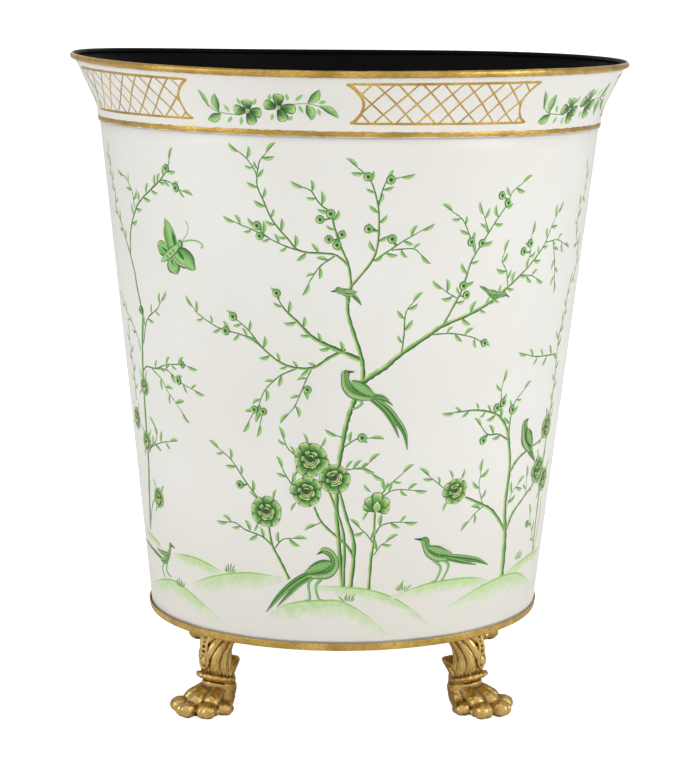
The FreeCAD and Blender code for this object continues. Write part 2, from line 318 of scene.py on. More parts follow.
# Grain under a coat of paint: small lumps for bump and small changes of gloss
def fineGrainGroup():
    group, given, result = effectGroup("fineGrain", {"Scale": 900.0, "Gloss": 0.4, "Gloss Change": 0.1},
                                       {"Height": "Float", "Roughness": "Float"})
    place = put(group, "TexCoord").outputs["Object"]
    grain = put(group, "TexNoise", {"Vector": place, "Scale": given["Scale"], "Detail": 3.0})
    clouds = put(group, "TexNoise", {"Vector": place, "Scale": 35.0, "Detail": 4.0})
    centred = calculate(group, "SUBTRACT", clouds.outputs["Fac"], 0.5)
    change = calculate(group, "MULTIPLY", centred, given["Gloss Change"])
    group.links.new(grain.outputs["Fac"], result["Height"])
    group.links.new(calculate(group, "ADD", given["Gloss"], change), result["Roughness"])
    return group


brushStreaks = brushStreaksGroup()
paintPatches = paintPatchesGroup()
fineGrain = fineGrainGroup()


# The layers that finishes share: patches of colour, grain, and streaks where a brush went
# round the vessel. A finish gives the groups' own inputs, and sockets of the shader.
def layeredMaterial(name, finish):
    material = bpy.data.materials.new(name)
    material.use_nodes = True
    tree = material.node_tree
    shader = tree.nodes["Principled BSDF"].inputs
    layers = {"coat": useGroup(tree, paintPatches, finish["patches"])["Colour"]}
    tree.links.new(layers["coat"], shader["Base Color"])
    if "grain" in finish:
        grain = useGroup(tree, fineGrain, finish["grain"])
        layers["grain"] = grain["Height"]
        layers["gloss"] = grain["Roughness"]
        tree.links.new(layers["gloss"], shader["Roughness"])
    if "streaks" in finish:
        streaks = useGroup(tree, brushStreaks, finish["streaks"])
        layers["streaks"] = streaks["Height"]
        layers["mask"] = streaks["Mask"]
    for socket, setting in finish.get("sockets", {}).items():
        shader[socket].default_value = setting
    return material, tree, shader, layers


# A bump is its strength and its depth in metres
def joinBump(tree, height, bump, shader):
    node = put(tree, "Bump", {"Height": height, "Strength": bump[0], "Distance": bump[1]})
    tree.links.new(node.outputs["Normal"], shader["Normal"])


enamelFinish = {
    "patches": {"Colour": shade(233, 231, 225), "Patch Colour": shade(226, 224, 217), "Scale": 9.0,
                "Amount": 0.8},
    "streaks": {"Around": 14.0, "Up": 520.0, "Contrast": 1.0},
    "grain": {"Scale": 700.0, "Gloss": 0.36, "Gloss Change": 0.22},
    "sockets": {"Coat Weight": 0.12, "Coat Roughness": 0.2},
    # painted shade: the enamel is a little darker and warmer near the floor
    "floorShadeColour": shade(222, 218, 208),    # a little darker and warmer near the floor
    "floorShadeBand": (0.055, 0.16, 0.8, 0.0),   # from and to in metres over the floor, and how much there
    "grainShare": 0.3,                    # of the bump
    "bump": (0.16, 0.0004),
}


def ivoryEnamelMaterial():
    finish = enamelFinish
    material, tree, shader, layers = layeredMaterial("ivoryEnamel", finish)
    place = put(tree, "TexCoord").outputs["Object"]
    up = put(tree, "SeparateXYZ", {0: place}).outputs[2]
    # painted shade: mixes the enamel towards a darker, warmer colour close to the floor
    near = rescale(tree, up, *finish["floorShadeBand"])
    tree.links.new(mixColour(tree, near, layers["coat"], finish["floorShadeColour"]), shader["Base Color"])
    grain = calculate(tree, "MULTIPLY", layers["grain"], finish["grainShare"])
    joinBump(tree, calculate(tree, "ADD", layers["streaks"], grain), finish["bump"], shader)
    return material


satinFinish = {
    "patches": {"Colour": shade(6, 6, 6), "Patch Colour": shade(11, 11, 10), "Scale": 16.0, "Amount": 0.6},
    "streaks": {"Around": 10.0, "Up": 380.0, "Contrast": 1.0},
    "grain": {"Scale": 800.0, "Gloss": 0.5, "Gloss Change": 0.2},
    "sockets": {"Specular IOR Level": 0.05},
    "bump": (0.3, 0.0005),
}


def blackSatinMaterial():
    material, tree, shader, layers = layeredMaterial("blackSatin", satinFinish)
    joinBump(tree, layers["streaks"], satinFinish["bump"], shader)
    return material


goldFinish = {
    "patches": {"Colour": shade(226, 188, 102), "Patch Colour": shade(158, 124, 54), "Scale": 60.0,
                "Amount": 0.9},
    "streaks": {"Around": 60.0, "Up": 900.0, "Contrast": 1.5},
    "grain": {"Scale": 1500.0, "Gloss": 0.34, "Gloss Change": 0.3},
    "sockets": {"Metallic": 0.85},
    "wear": (0.35, 0.65, 0.0, 0.55),      # streaks from and to, and how dull they leave it
    "bump": (0.4, 0.0005),
}


def goldBrushedMaterial():
    finish = goldFinish
    material, tree, shader, layers = layeredMaterial("goldBrushed", finish)
    worn = rescale(tree, layers["mask"], *finish["wear"])
    dull = finish["patches"]["Patch Colour"]
    tree.links.new(mixColour(tree, worn, layers["coat"], dull), shader["Base Color"])
    joinBump(tree, layers["streaks"], finish["bump"], shader)
    return material


giltFinish = {
    "patches": {"Colour": shade(216, 184, 116), "Patch Colour": shade(180, 148, 78), "Scale": 160.0,
                "Amount": 0.8},
    "grain": {"Scale": 1400.0, "Gloss": 0.34, "Gloss Change": 0.25},
    # dark brown of patina and painted shade in the hollows
    "patinaAndShadeColour": shade(48, 36, 10),
    "hollow": (0.48, 0.72, 0.0, 1.0),     # depths from and to, and how brown there
    "recessGloss": 0.4,
    "recessMetal": 0.55,
    "bump": (0.15, 0.0003),
}


# The paint attribute, which each modelled piece stores for itself
def paintAttribute(tree):
    return put(tree, "Attribute", attribute_name="paint", attribute_type="GEOMETRY").outputs


# Gilt metal, dark brown in its hollows as patina and painted shade; the paint attribute holds how deep each
# point lies, with painted shade near the sole added
def giltCastMaterial():
    finish = giltFinish
    material, tree, shader, layers = layeredMaterial("giltCast", finish)
    depth = rescale(tree, paintAttribute(tree)["Fac"], *finish["hollow"])
    tree.links.new(mixColour(tree, depth, layers["coat"], finish["patinaAndShadeColour"]), shader["Base Color"])
    duller = calculate(tree, "MULTIPLY", depth, finish["recessGloss"])
    tree.links.new(calculate(tree, "ADD", layers["gloss"], duller), shader["Roughness"])
    tree.links.new(rescale(tree, depth, 0.0, 1.0, 1.0, finish["recessMetal"]), shader["Metallic"])
    joinBump(tree, layers["grain"], finish["bump"], shader)
    return material


gardenFinish = {
    "patches": {"Colour": (1.0, 1.0, 1.0, 1.0), "Patch Colour": (0.78, 0.80, 0.74, 1.0), "Scale": 240.0,
                "Amount": 0.6},
    "grain": {"Scale": 1800.0, "Gloss": 0.42, "Gloss Change": 0.2},
    "bump": (0.2, 0.0002),
}


# Artist's paint: colour from the paint attribute, a little uneven, on the enamel
def gardenPaintMaterial():
    material, tree, shader, layers = layeredMaterial("gardenPaint", gardenFinish)
    colour = mixColour(tree, 1.0, paintAttribute(tree)["Color"], layers["coat"], "MULTIPLY")
    tree.links.new(colour, shader["Base Color"])
    joinBump(tree, layers["grain"], gardenFinish["bump"], shader)
    return material


# painted shadow: the grey of the shadow in the groove between the drum and the pan
grooveShadowFinish = {
    "patches": {"Colour": shade(150, 158, 158), "Patch Colour": shade(196, 198, 194), "Scale": 40.0,
                "Amount": 0.9},
    "sockets": {"Roughness": 0.5},
}
paperFinish = {
    "patches": {"Colour": shade(252, 252, 252), "Patch Colour": shade(249, 249, 249), "Scale": 3.0,
                "Amount": 0.5},
    "sockets": {"Roughness": 0.9, "Specular IOR Level": 0.1, "Emission Color": (1.0, 1.0, 1.0, 1.0)},
    "glow": 0.85,
}


def floorPaperMaterial():
    material, tree, shader, layers = layeredMaterial("floorPaper", paperFinish)
    direct = put(tree, "LightPath").outputs["Is Camera Ray"]
    tree.links.new(calculate(tree, "MULTIPLY", direct, paperFinish["glow"]), shader["Emission Strength"])
    return material


ivoryEnamel = ivoryEnamelMaterial()
blackSatin = blackSatinMaterial()
goldBrushed = goldBrushedMaterial()
giltCast = giltCastMaterial()
gardenPaint = gardenPaintMaterial()
grooveShadowGrey = layeredMaterial("grooveShadowGrey", grooveShadowFinish)[0]
floorPaper = floorPaperMaterial()
print("materials: 7")


# Floor and light
studio = {
    "floorReach": 200.0,         # metres
    "aim": (0.0, 0.0, 0.22),     # metres
    "world": 0.50,
    # name: place in metres, width and height in metres, watts
    "boxes": {
        "leftBox": ((-1.9, -0.9, 1.1), (1.2, 1.8), 15.0),
        "rightBox": ((1.9, -0.9, 1.1), (1.2, 1.8), 19.0),
        "topBox": ((0.0, -0.9, 2.3), (2.2, 1.8), 8.0),
        "frontBox": ((0.0, -3.2, 1.2), (2.4, 1.6), 9.0),
        "backBox": ((0.0, 2.2, 1.4), (2.4, 1.4), 5.0),
    },
}


def addFloor():
    reach = studio["floorReach"]
    corners = [(-reach, -reach, 0), (reach, -reach, 0), (reach, reach, 0), (-reach, reach, 0)]
    mesh = bpy.data.meshes.new("floor")
    mesh.from_pydata(corners, [], [(0, 1, 2, 3)])
    mesh.materials.append(floorPaper)
    floor = bpy.data.objects.new("floor", mesh)
    bpy.context.scene.collection.objects.link(floor)


def addLight():
    for name, (place, (width, height), power) in studio["boxes"].items():
        data = bpy.data.lights.new(name, "AREA")
        data.shape = "RECTANGLE"
        data.size = width
        data.size_y = height
        data.energy = power
        lamp = bpy.data.objects.new(name, data)
        lamp.location = place
        aim = Vector(studio["aim"]) - Vector(place)
        lamp.rotation_euler = aim.to_track_quat("-Z", "Y").to_euler()
        bpy.context.scene.collection.objects.link(lamp)
    world = bpy.data.worlds.new("studio")
    bpy.context.scene.world = world
    world.use_nodes = True
    tree = world.node_tree
    background = tree.nodes["Background"]
    background.inputs["Color"].default_value = (1.0, 1.0, 1.0, 1.0)
    direct = put(tree, "LightPath").outputs["Is Camera Ray"]
    strength = rescale(tree, direct, 0.0, 1.0, studio["world"], 1.0)
    tree.links.new(strength, background.inputs["Strength"])
    bpy.context.scene.view_settings.view_transform = "Standard"


addFloor()
addLight()
print("stage: floor and %d soft boxes" % len(studio["boxes"]))


# Walls
wallPiece = {"enamel": 0.4, "seat": 0.1, "lowest": 6.0, "lapCover": 1.0, "heightSteps": 28}


def enamelWall():
    w = wallPiece
    heights = spread(w["lowest"], vessel["height"] - w["lapCover"], w["heightSteps"])
    outer = [(wallRadius(0.0), w["seat"], True)] + drumLine(heights, 0.0)
    inner = [(radius - w["enamel"], height, isLevel) for radius, height, isLevel in reversed(outer)]
    points, faces = turnOutline(outer + inner)
    makePiece("enamelWall", points, faces, ivoryEnamel, ["body_shell"])


liningPiece = {
    "coat": 0.12,                  # over the wire
    "depth": 0.35,
    "lowest": 8.0,
    "drumSteps": 21,
    "topSteps": (-0.3, 0.15, 0.2), # heights round the drum's upper edge
    "collarSteps": 13,
    "wireTurns": (math.radians(215), math.radians(84), 9),
}


# Black inside: drum, collar and the inner and top half of the wire
def blackLining():
    v = vessel
    p = liningPiece
    metal = v["metal"]
    below, above, over = [v["height"] + step for step in p["topSteps"]]
    outline = [(wallRadius(0.0) - metal, wallPiece["seat"], True)]
    outline += drumLine(spread(p["lowest"], below, p["drumSteps"]), metal)
    outline.append((drumLine([v["height"]], metal)[0][0], above, False))
    outline += outlineAlong(spread(over, v["rimHeight"] - v["wireRadius"], p["collarSteps"]), metal)
    cover = v["wireRadius"] + p["coat"]
    outline += outlineArc((v["rimRadius"], v["rimHeight"]), (cover, cover), spread(*p["wireTurns"]))
    back = []
    share = (cover - p["depth"]) / cover
    for radius, height, isLevel in reversed(outline):
        out = radius - v["rimRadius"]
        up = height - v["rimHeight"]
        if math.hypot(out, up) < cover + 0.1:    # round the wire
            back.append((v["rimRadius"] + out * share, v["rimHeight"] + up * share, False))
        else:
            back.append((radius + p["depth"], height, isLevel))
    points, faces = turnOutline(outline + back)
    makePiece("blackLining", points, faces, blackSatin)


liningFloorPiece = {
    "inset": 0.6,
    "bottom": 53.02,
    "top": 53.16,
    "bevelShare": 0.98,
    "middle": 1.0,
    "steps": 120,
}


def liningFloor():
    p = liningFloorPiece
    radius = wallRadius(0.0) - p["inset"]
    outline = [(radius, p["bottom"], True), (radius * p["bevelShare"], p["top"], True),
               (p["middle"], p["top"], True), (p["middle"], p["bottom"], True)]
    points, faces = turnOutline(outline, p["steps"], upright=True)
    faces.append(capFace(p["steps"], len(outline), 2))
    faces.append(capFace(p["steps"], len(outline), 3, reverse=True))
    makePiece("liningFloor", points, faces, blackSatin)


collarPiece = {"enamel": 0.42, "step": 2, "wireGap": 1.6, "steps": 16}


def collarEnamel():
    v = vessel
    p = collarPiece
    hem = v["height"] - v["lapHeight"]
    heights = [hem, v["height"] - p["step"], v["height"]]
    heights += spread(v["height"] + p["step"], v["rimHeight"] - p["wireGap"], p["steps"])
    outer = outlineAlong(heights, 0.0)
    outer[0] = (wallRadius(hem + 0.01), hem, False)    # the skirt's own side of the step
    inner = outlineAlong(list(reversed(heights)), p["enamel"])
    inner[-1] = (outer[0][0] - p["enamel"], hem, False)
    points, faces = turnOutline(outer + inner)
    makePiece("collarEnamel", points, faces, ivoryEnamel, ["flared_collar"])


rimPiece = {"sides": 20, "steps": 480, "hammer": 0.10, "pace": 0.09}


# The hammered wire
def rimBead():
    v = vessel
    radii = (v["wireRadius"], v["wireRadius"])
    outline = outlineArc((v["rimRadius"], v["rimHeight"]), radii, turnsRound(rimPiece["sides"]))
    points, faces = turnOutline(outline, rimPiece["steps"])
    uneven = []
    for point in points:
        push = rimPiece["hammer"] * noise.noise(Vector(point) * rimPiece["pace"])
        grow = 1 + push / v["rimRadius"]
        uneven.append((point[0] * grow, point[1] * grow, point[2] + push))
    makePiece("rimBead", uneven, faces, goldBrushed, ["rim_wire"])


# Painted lines round the vessel; heights are up the drum's axis, or level over the pan's floor
paintedLines = {
    "waistLine": {"height": 325.0, "half": 1.62, "thick": 0.16, "wander": 0.5, "pace": 38.0, "seed": 4,
                  "level": False, "material": goldBrushed, "slot": "gold_paint"},
    "rimEdge": {"height": 361.2, "half": 0.55, "thick": 0.14, "wander": 0.35, "pace": 44.0, "seed": 9,
                "level": False, "material": goldBrushed, "slot": "gold_paint"},
    # painted shadow: a thin dark grey line in the groove where the drum meets the pan
    "grooveShadowLine": {"height": 4.75, "half": 0.55, "thick": 0.10, "wander": 0.12, "pace": 30.0, "seed": 5,
                   "level": True, "material": grooveShadowGrey, "slot": "ivory_enamel"},
}
lineSteps = 720


# The edges of a line wander, each by itself
def paintLine(name):
    line = paintedLines[name]
    random.seed(line["seed"])
    shift = Vector((random.uniform(0, 90), random.uniform(0, 90), random.uniform(0, 90)))
    across = [(-1.0, -0.04), (-0.8, line["thick"] * 0.8), (0.0, line["thick"]), (0.8, line["thick"] * 0.8),
              (1.0, -0.04), (0.0, -0.25)]
    points = []
    for angle in turnsRound(lineSteps, math.pi):
        spot = Vector((math.sin(angle), math.cos(angle), 0.0))
        lower = line["wander"] * noise.noise(spot * line["pace"] + shift)
        upper = line["wander"] * noise.noise(spot * line["pace"] - shift)
        for side, lift in across:
            half = line["half"] + (upper if side > 0 else lower if side < 0 else 0.0)
            height = line["height"] + side * half
            if line["level"]:
                height = levelHeight(wallRadius(height), angle, height)
            points.append(leaned(wallRadius(height) + lift, angle, height))
    makePiece(name, points, ringFaces(lineSteps, len(across), loop=True), line["material"])


panPiece = {
    "bottom": 52.0,
    "top": 57.0,
    "metal": 1.0,
    "gap": 0.15,
    "bend": 1.4,
    "bendSteps": 6,
    "middle": 1.0,
    "floorShares": (0.3, 0.6, 0.85, 0.97),
    "lip": (0.45, 0.4),          # how far below the top the round edge starts, and its rise
    "lipTurns": (0.4, math.pi - 0.4, 5),
}


def panGold():
    p = panPiece
    inner = wallRadius(0.0) + taper * wallRadius(0.0) * math.tan(vessel["lean"]) + p["gap"]
    outer = inner + p["metal"]
    growth = taper * (p["top"] - p["bottom"])
    bend = p["bend"]
    below, rise = p["lip"]
    outline = [(p["middle"], p["bottom"], True)]
    outline += [(share * outer, p["bottom"], True) for share in p["floorShares"]]
    corner = (outer - bend, p["bottom"] + bend)
    outline += outlineArc(corner, (bend, bend), spread(-math.pi / 2, 0.0, p["bendSteps"]), True)
    half = p["metal"] / 2
    outline.append((outer + growth, p["top"] - below, True))
    edge = (outer + growth - half, p["top"] - rise)
    outline += outlineArc(edge, (half, rise), spread(*p["lipTurns"]), True)
    outline += [(inner, p["bottom"] + p["metal"], True), (p["middle"], p["bottom"] + p["metal"], True)]
    points, faces = turnOutline(outline, upright=True)
    faces.append(capFace(vessel["steps"], len(outline), 0))
    faces.append(capFace(vessel["steps"], len(outline), len(outline) - 1, reverse=True))
    makePiece("panGold", points, faces, goldBrushed, ["base_pan"])


enamelWall()
blackLining()
liningFloor()
collarEnamel()
rimBead()
panGold()
paintLine("waistLine")
paintLine("rimEdge")
print("walls: drum, lining, collar, rim, pan and lines")


# Cast paw feet
# A foot is modelled at the origin with its toes towards +X, out of closed lumps that a
# voxel remesh then joins into one casting
footPlaces = {
    "pawFrontLeft": ("paw_foot_front_left", 225.0, 2.0),
    "pawFrontRight": ("paw_foot_front_right", 315.0, 7.0),
    "pawRearRight": ("paw_foot_rear_right", 45.0, -3.0),
    "pawRearLeft": ("paw_foot_rear_left", 135.0, 2.0),
}
footPiece = {
    "circle": 115.5,
    "voxel": 0.42,
    # up the shank: height, middle, radius
    "shank": [(52.0, -3.0, 11.3), (46.0, -0.5, 10.5), (38.0, 1.0, 10.7), (33.0, 0.8, 10.7),
              (27.5, -0.5, 10.4), (22.0, -2.4, 10.2)],
    "leaves": 9,
    "leafDepth": 1.25,
    # paw: height, middle, half length, half width
    "paw": [(22.0, -3.2, 10.0, 9.7), (18.0, -3.0, 10.4, 9.9), (15.0, -1.6, 12.2, 10.4),
            (11.0, 0.6, 14.6, 11.4), (6.0, 4.2, 17.0, 12.4), (2.2, 6.0, 16.6, 12.2), (0.0, 6.6, 15.6, 11.4)],
    # toes: tip along, tip across, radius
    "toes": [(26.8, -0.4, 6.3), (20.4, 11.4, 6.2), (21.2, -12.2, 6.2), (7.4, 14.6, 5.4), (6.6, -14.6, 5.4)],
    "pitting": (0.45, 0.22),              # how close together, and how deep
    "braceletHeights": (24.4, 18.8),      # front and back
    "beads": 17,
    "straps": (0.0, 1.3, 2.6),            # how far down the rings of the second strap lie
    "cabochon": (11.8, 34.2),             # how far out, and height
    # leaf curl behind the shank: how far out, height, half width, half thickness
    "curl": [(-2.0, 22.0, 10.0, 8.0), (-4.0, 25.5, 10.0, 8.4), (-7.5, 28.6, 9.2, 7.4),
             (-12.5, 30.4, 7.0, 5.0), (-16.8, 30.6, 4.4, 3.0), (-19.4, 30.8, 1.6, 1.2)],
    "top": 51.98,                         # just under the pan
    "soften": (0.5, 3),                   # how far and how often the joined skin is smoothed
    "hollow": (14, 2, 1.6),               # rounds of smoothing, again on the depth, and millimetres
    # painted shade near the floor
    "soleShade": (3.2, 0.35),                  # up to this height the skin is darker, by so much
}


class Clay:
    def __init__(self):
        self.points = []
        self.faces = []

    # A closed skin over rings of points, the lowest ring first
    def skin(self, rings):
        start = len(self.points)
        count = len(rings[0])
        for ring in rings:
            self.points += ring
        self.faces += [face[:1] + face[:0:-1] for face in ringFaces(len(rings), count, start=start)]
        self.faces.append(tuple(start + corner for corner in reversed(range(count))))
        last = start + (len(rings) - 1) * count
        self.faces.append(tuple(last + corner for corner in range(count)))

    # A rounded lump with its own three half axes
    def lump(self, middle, first, second, third):
        rings = []
        for level in spread(-0.97, 0.97, 9):
            girth = math.sqrt(1 - level * level)
            ring = []
            for turn in turnsRound(16):
                across = first * (girth * math.cos(turn))
                ring.append(tuple(middle + third * level + across + second * (girth * math.sin(turn))))
            rings.append(ring)
        self.skin(rings)

    # A round strand along a path, with a girth at each point
    def strand(self, path, girths):
        places = smoothPath([Vector(point) for point in path], 5)
        girth = smoothValues(girths, 5)
        rings = []
        for number, place in enumerate(places):
            ahead = places[min(number + 1, len(places) - 1)] - places[max(number - 1, 0)]
            ahead.normalize()
            side = ahead.cross(Vector((0.13, 0.21, 1.0)))
            side.normalize()
            up = side.cross(ahead)
            ring = []
            for turn in turnsRound(12):
                ring.append(tuple(place + side * (girth[number] * math.cos(turn))
                                  + up * (girth[number] * math.sin(turn))))
            rings.append(ring)
        self.skin(rings)


# Points on a smooth curve through the given ones
def smoothPath(points, steps):
    if len(points) < 3:
        return [points[0] + (points[-1] - points[0]) * (step / steps) for step in range(steps + 1)]
    result = []
    padded = [points[0] * 2 - points[1]] + list(points) + [points[-1] * 2 - points[-2]]
    for a, b, c, d in zip(padded, padded[1:], padded[2:], padded[3:]):
        for step in range(steps):
            t = step / steps
            result.append((b * 2 + (c - a) * t + (a * 2 - b * 5 + c * 4 - d) * t ** 2
                           + (b * 3 - a - c * 3 + d) * t ** 3) * 0.5)
    result.append(points[-1].copy())
    return result


def smoothValues(values, steps):
    return [value[0] for value in smoothPath([Vector((value, 0.0)) for value in values], steps)]


def between(table, height, column):
    rows = sorted(table)
    if height <= rows[0][0]:
        return rows[0][column]
    for low, high in zip(rows, rows[1:]):
        if height <= high[0]:
            return low[column] + (high[column] - low[column]) * (height - low[0]) / (high[0] - low[0])
    return rows[-1][column]


shankPiece = {
    "heights": (21.0, 52.0, 44),                # from and to, and how many rings
    "corners": 144,
    "sweep": (math.radians(70), 28.0, 24.0, 1.8),  # how far, from which height, over how much, power
    "grooves": (0.35, 26.0, 10.0),              # share of their depth at first, start, over how much
    "lip": (0.9, 45.0, 7.0),                    # how far out, start, over how much
    "flare": (4.2, 38.5, 10.0),                 # the same at the back
    "fold": 0.30,
    "grooveSharp": 2.2,
    "flareSharp": 1.5,
}


def swell(height, reach, start, over):
    return reach * blend(0.0, 1.0, (height - start) / over)


# Leaf ribs run up the shank and sweep back as they rise
def shankRings():
    p = shankPiece
    turned, sweepStart, sweepOver, power = p["sweep"]
    share, grooveStart, grooveOver = p["grooves"]
    rings = []
    for height in spread(*p["heights"]):
        middle = between(footPiece["shank"], height, 1)
        radius = between(footPiece["shank"], height, 2)
        sweep = turned * (max(height - sweepStart, 0.0) / sweepOver) ** power
        depth = footPiece["leafDepth"] * blend(share, 1.0, (height - grooveStart) / grooveOver)
        lip = swell(height, *p["lip"])
        flare = swell(height, *p["flare"])
        ring = []
        for turn in turnsRound(p["corners"], -math.pi):
            across = abs(turn) - sweep
            groove = 0.5 + 0.5 * math.cos(footPiece["leaves"] * across)
            fold = p["fold"] * math.cos(3 * footPiece["leaves"] * across)
            back = flare * max(-math.cos(turn), 0.0) ** p["flareSharp"]
            reach = radius + lip - depth * (1 - groove) ** p["grooveSharp"] + fold + back
            ring.append((middle + reach * math.cos(turn), reach * math.sin(turn), height))
        rings.append(ring)
    return rings


def pawRings():
    rings = []
    for height in spread(0.0, 22.0, 16):
        middle = between(footPiece["paw"], height, 1)
        length = between(footPiece["paw"], height, 2)
        width = between(footPiece["paw"], height, 3)
        ring = []
        for turn in turnsRound(48):
            ring.append((middle + length * math.cos(turn), width * math.sin(turn), height))
        rings.append(ring)
    return rings


toePiece = {
    "rise": 0.80,                        # the tip's height as a share of the toe's radius
    "ahead": 8.0,                        # toes point away from a place this far behind
    "pads": (0.27, 0.6),                 # share of the radius to each side, and how far back
    "padShares": (1.12, 0.78, 0.84),     # half axes as shares of the radius
    "knuckle": (9.0, 8.8),               # how far behind the tip, and height
    "dip": (5.2, 5.8),
    "root": (-3.0, 0.36, 17.0),          # along, share of the tip's place across, height
    "arch": 0.3,
    "girths": (3.6, 4.6),
    "girthShares": (0.94, 0.78, 0.66),
    "web": (5.2, 1.4, 4.2, 0.9, 3.9),    # back, down, half length, past the radius, half height
}


# A ridge runs down from the ankle to the knuckle; a dip, then the toe's two soft pads
def addToe(clay, along, across, radius):
    p = toePiece
    tip = Vector((along, across, radius * p["rise"]))
    heading = Vector((along + p["ahead"], across, 0.0)).normalized()
    side = Vector((-heading.y, heading.x, 0.0))
    up = Vector((0.0, 0.0, 1.0))
    apart, behind = p["pads"]
    length, width, tall = p["padShares"]
    for lobe in (-1, 1):
        clay.lump(tip + side * (lobe * radius * apart) - heading * behind, heading * radius * length,
                  side * radius * width, up * radius * tall)
    knuckle = tip - heading * p["knuckle"][0]
    knuckle.z = p["knuckle"][1]
    dip = tip - heading * p["dip"][0]
    dip.z = p["dip"][1]
    rootAlong, rootShare, rootHeight = p["root"]
    root = Vector((rootAlong, across * rootShare, rootHeight))
    middle = (knuckle + root) * 0.5
    middle.z += p["arch"]
    girths = list(p["girths"]) + [radius * share for share in p["girthShares"]]
    clay.strand([root, middle, knuckle, dip, tip], girths)
    # web of skin between this toe and its neighbours
    back, down, webLength, past, webHeight = p["web"]
    clay.lump(tip - heading * back - up * down, heading * webLength, side * (radius + past), up * webHeight)


def ankleHeight(turn, front, back):
    return (front + back) / 2 + (front - back) / 2 * math.cos(turn)


# A closed strand round the ankle, higher at the front than at the back
def ankleRing(clay, front, back, shift, reach, girth):
    loop = []
    for turn in spread(0.0, 2 * math.pi, 29):
        loop.append((reach * math.cos(turn) + shift, reach * math.sin(turn), ankleHeight(turn, front, back)))
    clay.strand(loop, [girth] * len(loop))


braceletPiece = {
    # rings round the ankle: how far below the bracelet's front and back, shift, reach and girth
    "rings": [(0.0, 0.0, 0.4, 10.8, 1.7), (1.4, 1.6, 0.1, 10.2, 1.3)],
    "beadReach": 11.7,
    "beadShift": (0.4, 0.2),             # forwards and up
    "bead": (1.3, 1.9, 1.6),             # half axes out, along and up
    # the second strap: front and back height, shift, reach and girth
    "strap": (18.8, 14.6, -2.5, 10.3, 1.15),
}


def addBracelet(clay):
    p = braceletPiece
    front, back = footPiece["braceletHeights"]
    count = footPiece["beads"]
    for frontDrop, backDrop, shift, reach, girth in p["rings"]:
        ankleRing(clay, front - frontDrop, back - backDrop, shift, reach, girth)
    forwards, lifted = p["beadShift"]
    thick, length, tall = p["bead"]
    for bead in range(count):
        turn = 2 * math.pi * (bead + 0.5) / count
        outward = Vector((math.cos(turn), math.sin(turn), 0.0))
        along = Vector((-math.sin(turn), math.cos(turn), 0.0))
        height = ankleHeight(turn, front, back) + lifted
        middle = outward * p["beadReach"] + Vector((forwards, 0.0, height))
        clay.lump(middle, outward * thick, along * length, Vector((0.0, 0.0, tall)))
    # the second strap sits lower and shows at the sides and the back
    strapFront, strapBack, shift, reach, girth = p["strap"]
    for drop in footPiece["straps"]:
        ankleRing(clay, strapFront - drop, strapBack - drop, shift, reach, girth)


# Broad leaf that curls out behind the shank, with ribs that fan over it
def addLeafCurl(clay):
    curl = footPiece["curl"]
    lean = Vector((-0.78, 0.0, 0.62))
    rings = []
    for share in spread(0.0, 1.0, 17):
        row = share * (len(curl) - 1)
        lower = int(min(row, len(curl) - 2))
        part = row - lower
        out, up, wide, thick = (a + (b - a) * part for a, b in zip(curl[lower], curl[lower + 1]))
        ring = []
        for turn in turnsRound(48):
            rib = 1.0 + 0.05 * math.cos(13 * turn)
            across = Vector((0.0, 1.0, 0.0)) * (wide * rib * math.cos(turn))
            through = Vector((lean.z, 0.0, -lean.x)) * (thick * rib * math.sin(turn))
            ring.append(tuple(Vector((out, 0.0, up)) + across + through))
        rings.append(ring)
    clay.skin(rings)


cabochonPiece = {
    "sunk": 0.5,
    "boss": (1.7, 2.3, 3.2),             # half axes out, across and up
    "frame": (0.7, 3.7, 4.9, 0.8),       # sunk, half width, half height, girth
    # strands that rise from the frame: sunk, to each side, above the boss, girth
    "ribs": [(0.6, 2.6, 4.6, 0.8), (0.9, 2.2, 9.5, 0.85), (3.4, 2.6, 16.5, 0.7)],
    "beadHeights": (42.0, 48.2, 3),
    "bead": (0.9, 1.0, 1.1),
}


# A lump whose half axes lie along the axes of the foot
def straightLump(clay, place, halves):
    out, across, up = halves
    clay.lump(Vector(place), Vector((out, 0, 0)), Vector((0, across, 0)), Vector((0, 0, up)))


# Oval boss at the front in a frame, with two ribs and three beads above it
def addCabochon(clay):
    p = cabochonPiece
    out, height = footPiece["cabochon"]
    straightLump(clay, (out - p["sunk"], 0.0, height), p["boss"])
    sunk, wide, tall, girth = p["frame"]
    frameLoop = []
    for turn in spread(0.0, 2 * math.pi, 21):
        frameLoop.append((out - sunk, wide * math.cos(turn), height + tall * math.sin(turn)))
    clay.strand(frameLoop, [girth] * len(frameLoop))
    for edge in (-1, 1):
        path = [(out - rib[0], edge * rib[1], height + rib[2]) for rib in p["ribs"]]
        clay.strand(path, [rib[3] for rib in p["ribs"]])
    for place in spread(*p["beadHeights"]):
        shift = between(footPiece["shank"], place, 1) + between(footPiece["shank"], place, 2)
        straightLump(clay, (shift, 0.0, place), p["bead"])


# A mesh's values as rows, read from one of its collections
def readRows(collection, name, width, kind=float):
    values = np.zeros(len(collection) * width, dtype=kind)
    collection.foreach_get(name, values)
    return values.reshape(-1, width)


